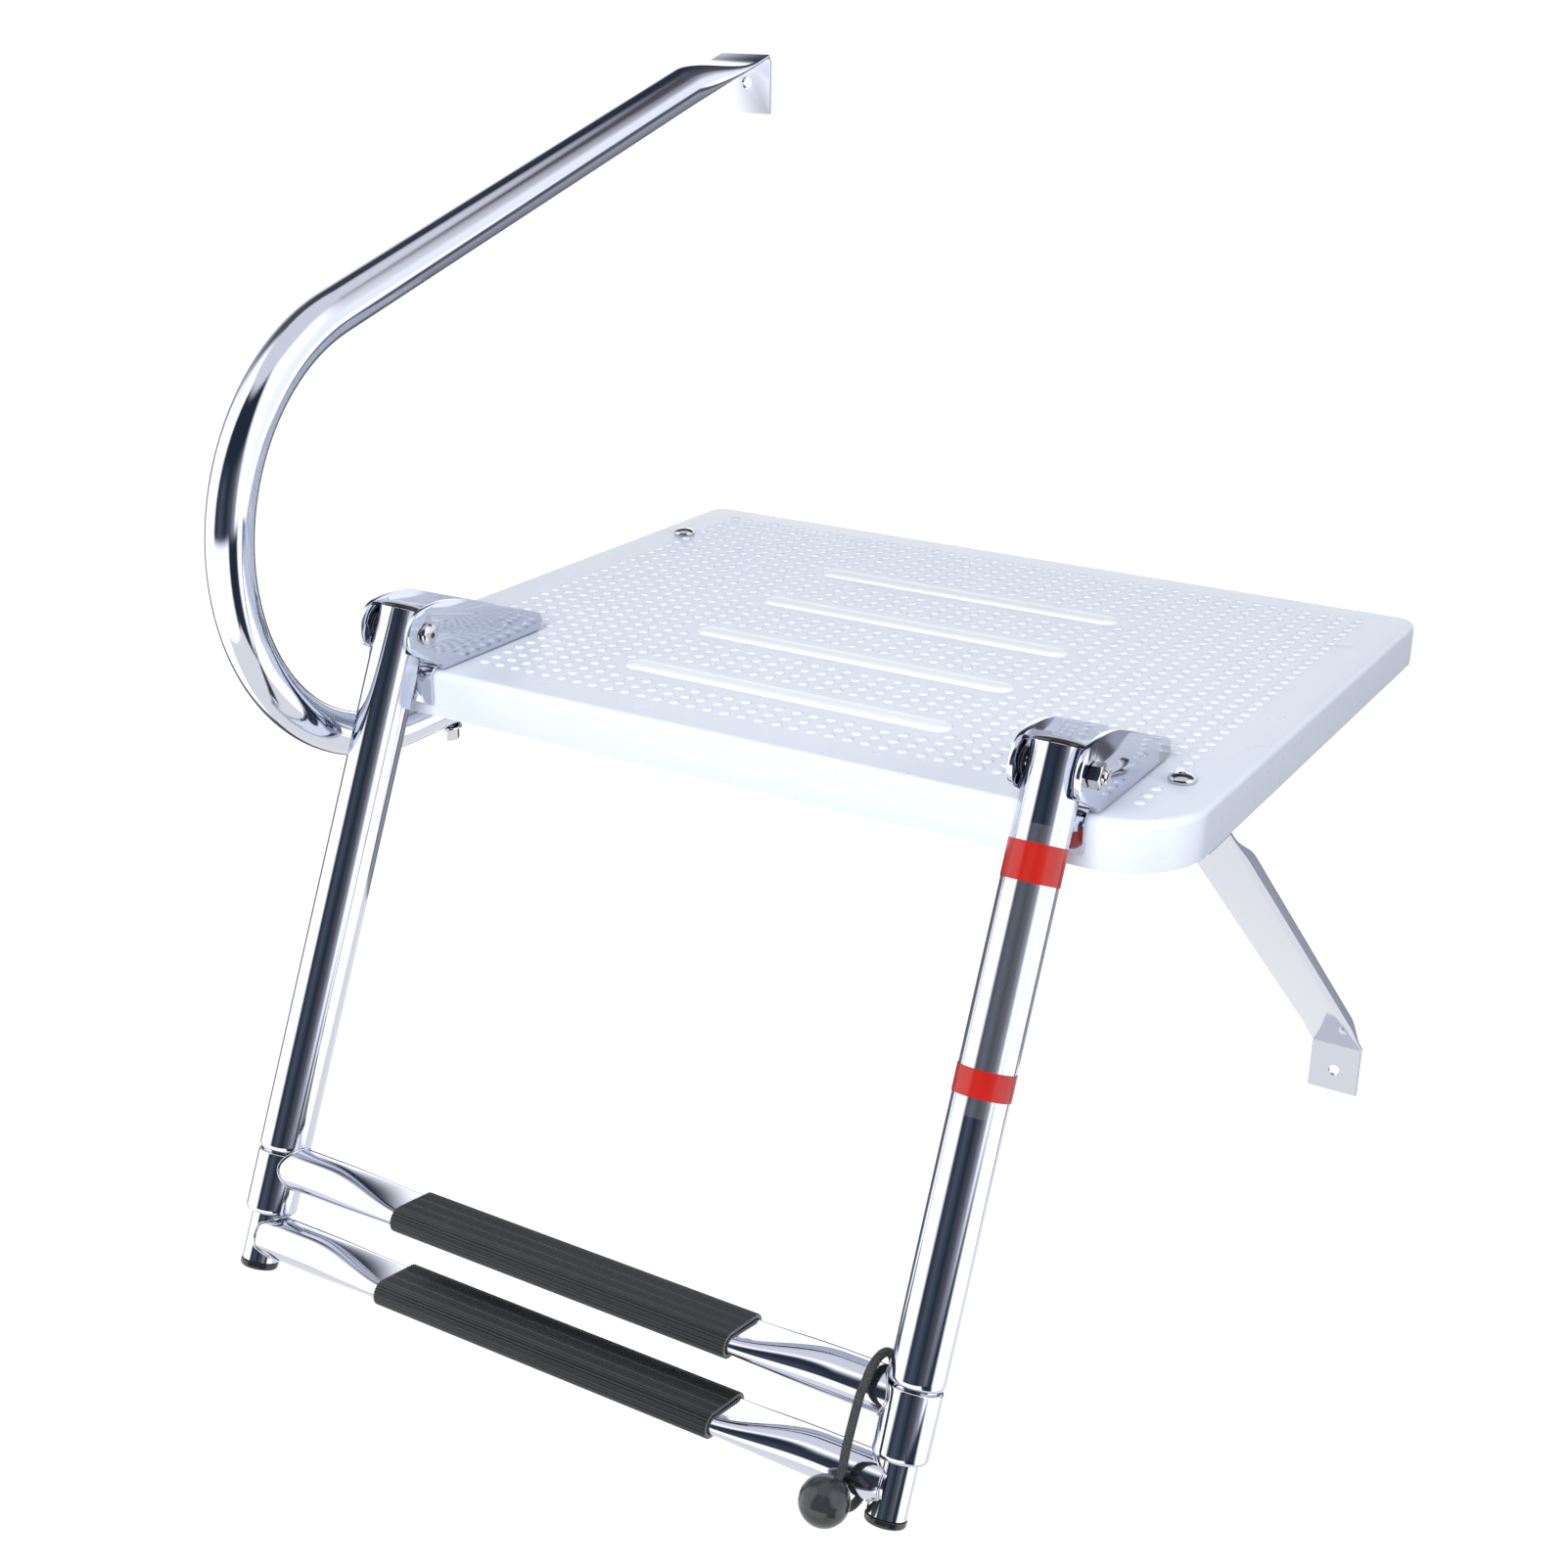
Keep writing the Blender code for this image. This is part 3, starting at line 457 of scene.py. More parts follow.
def relief(tree, source, depth, strength=1.0):
    bump = tree.nodes.new("ShaderNodeBump")
    bump.inputs["Strength"].default_value = strength
    bump.inputs["Distance"].default_value = depth
    tree.links.new(source, bump.inputs["Height"])
    tree.links.new(bump.outputs["Normal"], tree.nodes["Principled BSDF"].inputs["Normal"])


def steel(name, colour, low, high, ripple):
    """Polished steel: fine smears in the gloss and a faint ripple in the surface."""
    material, tree, _ = new_material(name, colour, (low + high) / 2, 1.0)
    spread(tree, noise(tree, 35, 5, (1, 1, 0.3)), low, high, "Roughness")
    relief(tree, noise(tree, 22, 2), ripple, 0.25)
    return material


def plastic(name, dark, light, low, high, grain, depth, **more):
    """Moulded plastic: a little mottling, uneven gloss and a fine grain."""
    material, tree, _ = new_material(name, light, (low + high) / 2, 0.0, **more)
    tint(tree, noise(tree, 14, 4), dark, light)
    spread(tree, noise(tree, 60, 4), low, high, "Roughness")
    relief(tree, noise(tree, grain, 2), depth, 0.5)
    return material


def make_cord_material():
    """Braided cover: two crossing sets of diagonal strands."""
    material, tree, _ = new_material("elastic_cord", (0.045, 0.048, 0.053), 0.75, 0.0)
    tint(tree, noise(tree, 900, 3), (0.02, 0.022, 0.025), (0.07, 0.074, 0.08))
    place = tree.nodes.new("ShaderNodeTexCoord")
    strands = []
    for turn in (radians(40), radians(-40)):
        mapping = tree.nodes.new("ShaderNodeMapping")
        mapping.inputs["Rotation"].default_value = (turn, 0, turn)
        wave = tree.nodes.new("ShaderNodeTexWave")
        wave.inputs["Scale"].default_value = 260
        wave.inputs["Distortion"].default_value = 0.6
        tree.links.new(place.outputs["Object"], mapping.inputs["Vector"])
        tree.links.new(mapping.outputs["Vector"], wave.inputs["Vector"])
        strands.append(wave.outputs["Fac"])
    crossed = tree.nodes.new("ShaderNodeMath")
    crossed.operation = "MAXIMUM"
    tree.links.new(strands[0], crossed.inputs[0])
    tree.links.new(strands[1], crossed.inputs[1])
    relief(tree, crossed.outputs["Value"], 0.35 * MM)
    return material


def make_film_material():
    """Clear film, a little uneven in gloss."""
    material, tree, _ = new_material("sleeve_film", (0.5, 0.5, 0.52), 0.08, 0.0, Alpha=0.03)
    spread(tree, noise(tree, 80, 4), 0.04, 0.16, "Roughness")
    relief(tree, noise(tree, 90, 3), 0.05 * MM, 0.4)
    return material


# Two tones, two roughnesses, and the scale and height of the grain.
PLASTICS = {
    "deck_plastic": ((0.745, 0.805, 0.912), (0.755, 0.815, 0.92), 0.27, 0.31, 260, 0.003 * MM),
    # The ribs are the deck's plastic made lighter: a painted highlight for the light on their raised mounds.
    "rib_painted_highlight_plastic": ((0.87, 0.925, 0.99), (0.88, 0.935, 0.99), 0.27, 0.31, 260, 0.003 * MM),
    "black_plastic": ((0.008, 0.008, 0.01), (0.014, 0.014, 0.017), 0.1, 0.22, 900, 0.01 * MM),
    "tread_plastic": ((0.007, 0.008, 0.01), (0.011, 0.012, 0.015), 0.24, 0.34, 500, 0.004 * MM),
    "tread_cut_end": ((0.16, 0.162, 0.17), (0.22, 0.223, 0.23), 0.55, 0.75, 2200, 0.05 * MM),
    "nylon": ((0.03, 0.03, 0.033), (0.045, 0.045, 0.05), 0.3, 0.42, 900, 0.01 * MM),
    "spacer_plastic": ((0.82, 0.85, 0.88), (0.86, 0.89, 0.92), 0.35, 0.5, 900, 0.02 * MM),
    "ball_plastic": ((0.018, 0.02, 0.023), (0.03, 0.033, 0.037), 0.12, 0.24, 700, 0.015 * MM),
}
BAND_LOOK = ((0.42, 0.012, 0.008), (0.5, 0.02, 0.012), 0.16, 0.28, 900, 0.01 * MM)
LOOKS = {look: plastic(look, *values) for look, values in PLASTICS.items()}
LOOKS["sleeve_band"] = plastic("sleeve_band", *BAND_LOOK, Alpha=0.72)
LOOKS["polished_steel"] = steel("polished_steel", (0.60, 0.625, 0.70), 0.05, 0.1, 0.03 * MM)
LOOKS["fastener_steel"] = steel("fastener_steel", (0.56, 0.56, 0.585), 0.06, 0.14, 0.02 * MM)
LOOKS["elastic_cord"] = make_cord_material()
LOOKS["sleeve_film"] = make_film_material()


# --- pieces


def piece(name, mesh, body, slot, replaced=None, looks=()):
    """One visible piece on a body. It looks as its slot does if no looks are given."""
    obj = bpy.data.objects.new(name, mesh)
    bpy.context.scene.collection.objects.link(obj)
    mesh.materials.clear()
    for look in looks or (slot,):
        mesh.materials.append(LOOKS[look])
    if replaced:
        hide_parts(replaced)
    if body:
        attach(obj, body)
    return obj


def in_ladder(x, z=0.0):
    return LADDER @ Matrix.Translation((x, 0, z))


# --- deck


def deck_ring(inset, z):
    """The deck's plan outline at a height, moved inwards by inset."""
    x = DECK_HIGH.x - inset
    front = DECK_LOW.y + inset
    rear = DECK_HIGH.y - inset
    front_r = CORNER_FRONT - inset
    rear_r = CORNER_REAR - inset
    points = arc((x - rear_r, rear - rear_r), rear_r, 0, pi / 2, 12)
    points += arc((-x + rear_r, rear - rear_r), rear_r, pi / 2, pi, 12)
    points += arc((-x + front_r, front + front_r), front_r, pi, 3 * pi / 2, 28)
    points += arc((x - front_r, front + front_r), front_r, 3 * pi / 2, 2 * pi, 28)
    return [(a, b, z) for a, b in points]


def make_deck():
    bottom = DECK_LOW.z
    ceiling = DECK_TOP - DECK_WALL
    rim = 0.8 * MM
    rings = [deck_ring(DECK_WALL + 2 * MM, ceiling), deck_ring(DECK_WALL, ceiling - 2.5 * MM)]
    rings += [deck_ring(DECK_WALL, bottom + rim), deck_ring(DECK_WALL - rim, bottom)]
    rings += [deck_ring(rim, bottom), deck_ring(0.25 * rim, bottom + 0.25 * rim), deck_ring(0, bottom + rim)]
    for i in range(11):
        angle = pi / 2 * i / 10
        rings.append(deck_ring(DECK_EDGE * (1 - cos(angle)), DECK_TOP - DECK_EDGE * (1 - sin(angle))))
    holes = [(-SIDE_X, BOLT_REAR_Y), (-SIDE_X, BOLT_FRONT_Y), (SIDE_X, BOLT_FRONT_Y)]
    holes += [(side * LEG_X, y) for side in (-1, 1) for y in BASE_BOLT_Y.values()]
    cuts = []
    for x, y in holes:
        drill = rod(HOLE_R, (x, y, DECK_TOP - 9 * MM), (x, y, DECK_TOP + 2 * MM), COARSE)
        cuts.append(("DIFFERENCE", drill))
    piece("deck", solved(loft("deck", rings), *cuts), "platform", "deck_plastic", "deck_panel")


def dot_is_clear(x, y, row, column_x):
    """False where a rib, bolt or hinge takes the dot's place."""
    for rib in RIB_ROWS:
        reach = 10.5 if row == rib else 9.5
        if abs(row - rib) <= 1 and abs(column_x) < reach:
            return False
    for bolt_x, bolt_y in ((-SIDE_X, BOLT_REAR_Y), (-SIDE_X, BOLT_FRONT_Y), (SIDE_X, BOLT_FRONT_Y)):
        if hypot(x - bolt_x, y - bolt_y) < 11.4 * MM:
            return False
    beside_hinge = abs(abs(x) - LEG_X) < EAR_GAP / 2 + SHEET + DOT_R
    return not (beside_hinge and y < EAR_REAR_Y + DOT_R)


def make_dots():
    """Raised dots over the whole deck, one closed cap each."""
    bm = bmesh.new()
    segments = 14
    levels = [(1.0, -0.2), (1.0, 0.12), (0.93, 0.45), (0.72, 0.8), (0.38, 0.97)]
    for row in range(DOT_ROWS):
        for column in range(DOT_COLUMNS):
            column_x = column - (DOT_COLUMNS - 1) / 2
            x = column_x * DOT_PITCH
            y = DOT_FIRST_Y - row * DOT_PITCH
            if not dot_is_clear(x, y, row, column_x):
                continue
            rows = []
            for share, rise in levels:
                z = DECK_TOP + rise * DOT_HEIGHT
                reach = share * DOT_R
                turn = [2 * pi * k / segments for k in range(segments)]
                rows.append([bm.verts.new((x + reach * cos(a), y + reach * sin(a), z)) for a in turn])
            for lower, upper in zip(rows, rows[1:]):
                for i in range(segments):
                    j = (i + 1) % segments
                    bm.faces.new((lower[i], lower[j], upper[j], upper[i]))
            crown = bm.verts.new((x, y, DECK_TOP + DOT_HEIGHT))
            for i in range(segments):
                bm.faces.new((rows[-1][i], rows[-1][(i + 1) % segments], crown))
            bm.faces.new(list(reversed(rows[0])))
    piece("deck_dots", mesh_from(bm, "deck_dots", radians(60)), "platform", "deck_plastic")


def stadium(half_length, radius, y, z, count=14):
    points = arc((half_length, y), radius, -pi / 2, pi / 2, count)
    points += arc((-half_length, y), radius, pi / 2, 3 * pi / 2, count)
    return [(a, b, z) for a, b in points]


def make_ribs():
    """Four smooth raised ribs across the deck, rounded in section, in a lighter copy of the deck plastic that
    paints their highlight.
    """
    straight = RIB_HALF_LENGTH - RIB_HALF_WIDTH
    for number, row in enumerate(RIB_ROWS, 1):
        y = DOT_FIRST_Y - row * DOT_PITCH
        rings = [stadium(straight, RIB_HALF_WIDTH, y, DECK_TOP - 0.4 * MM)]
        for i in range(11):
            angle = pi / 2 * i / 11
            z = DECK_TOP + RIB_HEIGHT * sin(angle)
            rings.append(stadium(straight, RIB_HALF_WIDTH * cos(angle), y, z))
        mesh = loft(f"deck_rib_{number}", rings, smooth_angle=radians(70))
        # A lighter copy of the deck plastic paints the ribs' highlight.
        piece(f"deck_rib_{number}", mesh, "platform", "deck_plastic", looks=["rib_painted_highlight_plastic"])


def make_bolt_mark():
    """The moulded spot where a fourth bolt could go."""
    place = Matrix.Translation((SIDE_X, -89 * MM, DECK_TOP))
    rise = 0.35 * MM
    root = -0.3 * MM
    edge = 6.9 * MM
    profile = [(0, rise), (5.6 * MM, rise), (6.4 * MM, 0.2 * MM), (edge, 0), (edge, root), (0, root)]
    piece("deck_bolt_mark", lathe("deck_bolt_mark", profile, place), "platform", "deck_plastic")


# --- hinge brackets


def ear_outline(base):
    """Side outline of an ear and the base between them."""
    head_turn = EAR_HEAD_END - pi / 2
    crown_in = EAR_CROWN_R - EAR_HEAD
    crown = (PIVOT.y - crown_in * cos(EAR_HEAD_END), PIVOT.z - crown_in * sin(EAR_HEAD_END))
    taper = pi / 2 - EAR_SLOPE
    start = (crown[0] + EAR_CROWN_R * cos(taper), crown[1] + EAR_CROWN_R * sin(taper))
    tip_y = EAR_REAR_Y - EAR_TIP_R
    tip_z = start[1] - (tip_y - start[0]) * tan(EAR_SLOPE) - EAR_TIP_R / cos(EAR_SLOPE)
    points = [(tip_y + EAR_TIP_R * cos(radians(-35)), base - MM)]
    points += arc((tip_y, tip_z), EAR_TIP_R, radians(-35), taper, 16)
    points += arc(crown, EAR_CROWN_R, taper, pi / 2 + head_turn, 24)
    points += arc((PIVOT.y, PIVOT.z), EAR_HEAD, EAR_HEAD_END, radians(217), 32)[1:]
    points += soften(
        [(-470 * MM, 24.6 * MM), (-465.8 * MM, 22.2 * MM), (-458 * MM, 19.5 * MM), (-456 * MM, base - MM)],
        [0, 6 * MM, 2 * MM, 0],
    )
    return points


def make_bracket(side, x):
    base = DECK_TOP + GAP
    half = EAR_GAP / 2
    top = PIVOT.z + EAR_HEAD + 5 * MM
    wide = half + SHEET
    channel = [(-wide, top), (-wide, base), (wide, base), (wide, top)]
    channel += [(half, top), (half, base + SHEET), (-half, base + SHEET), (-half, top)]
    section = soften(channel, [0, 4 * MM, 4 * MM, 0, 0, 1.2 * MM, 1.2 * MM, 0], 8)
    body = prism("bracket", [(x + a, b) for a, b in section], -0.5, -0.34, "Y")
    ears = prism("ears", ear_outline(base), x - 2 * wide, x + 2 * wide)
    face = DECK_LOW.y - GAP
    bend = 5 * MM
    centre = (face + bend, base - bend)
    rear = -440 * MM
    tab = [(face, TAB_BOTTOM)] + arc(centre, bend, pi, pi / 2, 10) + [(rear, base), (rear, base + SHEET)]
    tab += arc(centre, bend + SHEET, pi / 2, pi, 10) + [(face - SHEET, TAB_BOTTOM)]
    tab_mesh = prism("tab", tab, x - TAB_WIDTH / 2, x + TAB_WIDTH / 2)
    reach = wide + 4 * MM
    changes = [("INTERSECT", ears), ("UNION", tab_mesh)]
    drill = rod(HOLE_R, (x - reach, PIVOT.y, PIVOT.z), (x + reach, PIVOT.y, PIVOT.z))
    changes.append(("DIFFERENCE", drill))
    for y in BASE_BOLT_Y.values():
        drill = rod(HOLE_R, (x, y, base - 2 * MM), (x, y, base + 3 * SHEET), COARSE)
        changes.append(("DIFFERENCE", drill))
    changes.append(("BEVEL", 0.35 * MM))
    replaced = "hinge_bracket_" + side
    # The pieces' names leave out the side's first letter.
    piece("bracket_" + side[1:], solved(body, *changes), "platform", "polished_steel", replaced)


# --- fasteners


def hexagon(flats):
    radius = flats / 2 / cos(pi / 6)
    return [(radius * cos(k * pi / 3), radius * sin(k * pi / 3)) for k in range(6)]


def make_bolt(node, head, length, matrix):
    """A domed socket head on a plain shank."""
    head_r, head_height = head
    rim = 0.28 * head_height
    profile = [(0, head_height)]
    profile += [(head_r * sin(a), rim + (head_height - rim) * cos(a)) for a in quarter(16, 1)]
    profile += [(head_r, 0.25 * MM), (head_r - 0.25 * MM, 0), (BOLT_R, 0), (BOLT_R, -length + MM)]
    profile += [(BOLT_R - MM, -length), (0, -length)]
    socket = prism("socket", hexagon(0.52 * head_r), head_height * 0.35, head_height + MM, "Z")
    mesh = solved(lathe(node, profile, segments=TUBE), ("DIFFERENCE", socket), ("BEVEL", 0.12 * MM))
    mesh.transform(matrix)
    piece("screw_" + node, mesh, "platform", "fastener_steel", node)


def make_nut(node, height, matrix):
    """A hexagon nut with both faces chamfered and a chamfered bore."""
    blank = prism(node, hexagon(NUT_FLATS), 0, height, "Z")
    corner = NUT_FLATS / 2 / cos(pi / 6)
    flat = NUT_FLATS / 2 * 0.97
    drop = (corner - flat) * tan(radians(30))
    outside = corner + 0.1 * MM
    turned = [(0, height), (flat, height), (outside, height - drop), (outside, drop), (flat, 0), (0, 0)]
    wide = HOLE_R + 1.2 * MM
    bore = [(0, height + MM), (wide, height + MM), (HOLE_R, height - 0.6 * MM)]
    bore += [(HOLE_R, 0.6 * MM), (wide, -MM), (0, -MM)]
    changes = [("INTERSECT", lathe("turned", turned))]
    changes.append(("DIFFERENCE", lathe("bore", bore, segments=48)))
    mesh = solved(blank, *changes)
    mesh.transform(matrix)
    piece("hex_" + node, mesh, "platform", "fastener_steel", node)


def ring(outer, inner, bottom, top, edge):
    """The section of a tube or washer with its edges broken."""
    return [
        (outer - edge, top),
        (outer, top - edge),
        (outer, bottom + edge),
        (outer - edge, bottom),
        (inner + edge, bottom),
        (inner, bottom + edge),
        (inner, top - edge),
        (inner + edge, top),
    ]


def make_fasteners():
    """Deck bolts with their washers, spacers and nuts, and the hinge base bolts."""
    head = DECK_TOP + GAP
    places = {
        "rear_left": (-SIDE_X, BOLT_REAR_Y),
        "front_left": (-SIDE_X, BOLT_FRONT_Y),
        "front_right": (SIDE_X, BOLT_FRONT_Y),
    }
    rounds = (("washer", WASHER_R, "fastener_steel"), ("spacer", SPACER_R, "spacer_plastic"))
    for label, (x, y) in places.items():
        nut_low, nut_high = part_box("nut_" + label)
        length = head - nut_low.z + 2 * GAP
        make_bolt("bolt_" + label, DECK_HEAD, length, Matrix.Translation((x, y, head)))
        make_nut("nut_" + label, nut_high.z - nut_low.z, Matrix.Translation((x, y, nut_low.z)))
        for kind, radius, slot in rounds:
            low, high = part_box(f"{kind}_{label}")
            profile = ring(radius, HOLE_R, low.z, high.z, 0.25 * MM)
            mesh = lathe(kind, profile, Matrix.Translation((x, y, 0)))
            piece(f"{kind}_piece_{label}", mesh, "platform", slot, f"{kind}_{label}")
    for side, x in (("left", -LEG_X), ("right", LEG_X)):
        for place, y in BASE_BOLT_Y.items():
            low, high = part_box(f"base_bolt_{side}_{place}")
            seat = high.z - BASE_HEAD[1]
            at_seat = Matrix.Translation((x, y, seat))
            make_bolt(f"base_bolt_{side}_{place}", BASE_HEAD, seat - low.z, at_seat)
            low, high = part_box(f"base_nut_{side}_{place}")
            make_nut(f"base_nut_{side}_{place}", high.z - low.z, Matrix.Translation((x, y, low.z)))


def on_pivot(x, turn):
    """A piece turned round the pivots' line, at a place along it."""
    return Matrix.Translation((x, PIVOT.y, PIVOT.z)) @ turn


def make_pivots():
    """Each bolt's head is on the ladder's inner side and its nut on the outer side."""
    for side, x, outward in (("left", -LEG_X, -1), ("right", LEG_X, 1)):
        low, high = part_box("pivot_bolt_" + side)
        seat = x - outward * (EAR_GAP / 2 + SHEET + GAP)
        length = (high.x - seat) if outward > 0 else (seat - low.x)
        turn = Matrix.Rotation(-outward * pi / 2, 4, "Y")
        make_bolt("pivot_bolt_" + side, PIVOT_HEAD, length, on_pivot(seat, turn))
        low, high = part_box("pivot_nut_" + side)
        near = low.x if outward > 0 else high.x
        turn = Matrix.Rotation(outward * pi / 2, 4, "Y") @ Matrix.Rotation(pi / 6, 4, "Z")
        make_nut("pivot_nut_" + side, high.x - low.x, on_pivot(near, turn))
        for label in ("inner", "outer"):
            low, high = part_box(f"pivot_washer_{side}_{label}")
            profile = ring(PIVOT_WASHER_R, HOLE_R, 0, high.x - low.x, 0.15 * MM)
            mesh = lathe("washer", profile, on_pivot(low.x, Matrix.Rotation(pi / 2, 4, "Y")))
            piece(f"pivot_disc_{side}_{label}", mesh, "platform", "nylon", f"pivot_washer_{side}_{label}")


# --- handrail and strut


def path_rings(path, radius, x):
    """Rings across a path in the YZ plane. Each station is (y, z, heading, half thickness)."""
    rings = []
    for y, z, heading, half_thickness in path:
        normal = (-sin(heading), cos(heading))
        section = pressed_section(radius, half_thickness)
        rings.append([(x + width, y + thick * normal[0], z + thick * normal[1]) for width, thick in section])
    return rings


def bend_stations(centre, radius, start, end, half_thickness, count):
    """Stations round a bend to the left; start and end are headings."""
    stations = []
    for i in range(count + 1):
        heading = start + (end - start) * i / count
        y = centre[0] + radius * sin(heading)
        z = centre[1] - radius * cos(heading)
        stations.append((y, z, heading, half_thickness))
    return stations


def rail_path():
    """From the flange on the transom, out and down the upper run, round the bend and back under the deck."""
    heading = pi + RAIL_SLOPE
    full = RAIL_R * 0.999
    centre = (-PRESSED - FLANGE_BEND_R, RAIL_TOP_Z - FLANGE_BEND_R)
    stations = [(-PRESSED, RAIL_TOP_Z - FLANGE_HEIGHT, pi / 2, PRESSED)]
    stations += bend_stations(centre, FLANGE_BEND_R, pi / 2, heading, PRESSED, 12)
    y, z = stations[-1][:2]
    for i in range(25):
        share = i / 24
        run = FLAT_RUN + SWELL_RUN * share
        drop = RAIL_DROP * ease(share)
        half = PRESSED + (full - PRESSED) * ease(share)
        along_y = run * cos(heading) + drop * sin(heading)
        along_z = run * sin(heading) - drop * cos(heading)
        stations.append((y + along_y, z + along_z, heading, half))
    y, z = stations[-1][:2]
    centre_z = RAIL_LOW_Z + RAIL_BEND_R
    foot = (z - centre_z - RAIL_BEND_R / cos(RAIL_SLOPE)) / tan(RAIL_SLOPE)
    stations += bend_stations((y - foot, centre_z), RAIL_BEND_R, heading, 2 * pi, full, 56)
    stations.append((RAIL_REAR_Y, RAIL_LOW_Z, 2 * pi, full))
    return stations


def make_rail():
    path = rail_path()
    rings = path_rings(path, RAIL_R, -SIDE_X)
    y, z, heading, half = path[-1]
    rings.insert(-1, path_rings([(y - 0.5 * MM, z, heading, half)], RAIL_R, -SIDE_X)[0])
    rings[-1] = path_rings([(y, z, heading, half - 0.4 * MM)], RAIL_R - 0.4 * MM, -SIDE_X)[0]
    bore = [(a, b, c, d - RAIL_WALL) for a, b, c, d in path if d > RAIL_R * 0.99]
    rings += list(reversed(path_rings(bore, RAIL_R - RAIL_WALL, -SIDE_X)))
    tube = loft("handrail_tube", rings)
    reach = RAIL_R + 2 * MM
    cuts = []
    for hole_y in (BOLT_REAR_Y, BOLT_FRONT_Y):
        cuts.append(("DIFFERENCE", rod(HOLE_R, (-SIDE_X, hole_y, z - reach), (-SIDE_X, hole_y, z + reach))))
    hole_z = RAIL_TOP_Z - FLANGE_HOLE_DROP
    cuts.append(("DIFFERENCE", rod(FLANGE_HOLE_R, (-SIDE_X, -6 * MM, hole_z), (-SIDE_X, MM, hole_z))))
    piece("handrail_tube", solved(tube, *cuts), "platform", "polished_steel", "handrail")


def strut_stations():
    """(y, z, heading, lip height) from the pad under the deck down to the foot on the transom."""
    bend_r = STRUT_BEND_R
    down = 2 * pi - STRUT_SLOPE
    pad_end = STRUT_RUN_TOP_Y - bend_r * tan(STRUT_SLOPE / 2)
    path = [(STRUT_PAD_Y, STRUT_PAD_Z, 2 * pi, 0)]
    for i in range(11):
        lean = STRUT_SLOPE * i / 10
        path.append((pad_end + bend_r * sin(lean), STRUT_PAD_Z - bend_r * (1 - cos(lean)), 2 * pi - lean, 0))
    foot_y = -STRUT_SHEET / 2
    length = -STRUT_RUN_TOP_Y / cos(STRUT_SLOPE)
    first = 8 * MM
    last = length - 10 * MM
    count = 72
    for i in range(count + 1):
        run = first + (last - first) * i / count
        lip = STRUT_LIP * min(ease((run - first) / STRUT_FADE), ease((last - run) / STRUT_FADE))
        y = STRUT_RUN_TOP_Y + run * cos(STRUT_SLOPE)
        z = STRUT_PAD_Z - run * sin(STRUT_SLOPE)
        path.append((y, z, down, lip))
    corner_z = STRUT_PAD_Z - (foot_y - STRUT_RUN_TOP_Y) * tan(STRUT_SLOPE)
    back = bend_r * tan((pi / 2 - STRUT_SLOPE) / 2)
    start = (foot_y - back * cos(STRUT_SLOPE), corner_z + back * sin(STRUT_SLOPE))
    centre = (start[0] - bend_r * sin(STRUT_SLOPE), start[1] - bend_r * cos(STRUT_SLOPE))
    for i in range(11):
        heading = down - (pi / 2 - STRUT_SLOPE) * i / 10
        path.append((centre[0] - bend_r * sin(heading), centre[1] + bend_r * cos(heading), heading, 0))
    path.append((foot_y, STRUT_FOOT_Z, 3 * pi / 2, 0))
    return path


def channel_half(lip):
    """The right half of the strut's section, from the underside's middle round to the upper side's middle."""
    half = STRUT_WIDTH / 2
    thick = STRUT_SHEET
    height = thick + lip
    web = thick - 0.02 * MM
    outer_r = min(4 * MM, 0.45 * height)
    inner_r = min(1.6 * MM, 0.4 * (height - web))
    tip = min(0.5 * MM, 0.2 * height)
    points = arc((half - outer_r, outer_r), outer_r, -pi / 2, 0, 8)
    points += arc((half - tip, height - tip), tip, 0, pi / 2, 4)
    points += arc((half - thick + tip, height - tip), tip, pi / 2, pi * 0.98, 4)
    points += arc((half - thick - inner_r, web + inner_r), inner_r, 0, -pi / 2, 6)
    return [(width, rise - thick / 2) for width, rise in points]


def make_strut():
    rings = []
    for y, z, heading, lip in strut_stations():
        right = channel_half(lip)
        section = right + [(-width, rise) for width, rise in reversed(right)]
        across, up = -sin(heading), cos(heading)
        rings.append([(STRUT_X + width, y + rise * across, z + rise * up) for width, rise in section])
    web = loft("strut_channel", rings)
    reach = 8 * MM
    pad = (SIDE_X, BOLT_FRONT_Y)
    foot_z = STRUT_FOOT_Z + STRUT_HOLE_RISE
    cuts = [("DIFFERENCE", rod(HOLE_R, (*pad, STRUT_PAD_Z - reach), (*pad, STRUT_PAD_Z + reach)))]
    cuts.append(("DIFFERENCE", rod(FLANGE_HOLE_R, (STRUT_X, -6 * MM, foot_z), (STRUT_X, MM, foot_z))))
    piece("strut_channel", solved(web, *cuts), "platform", "polished_steel", "support_strut")


# --- ladder


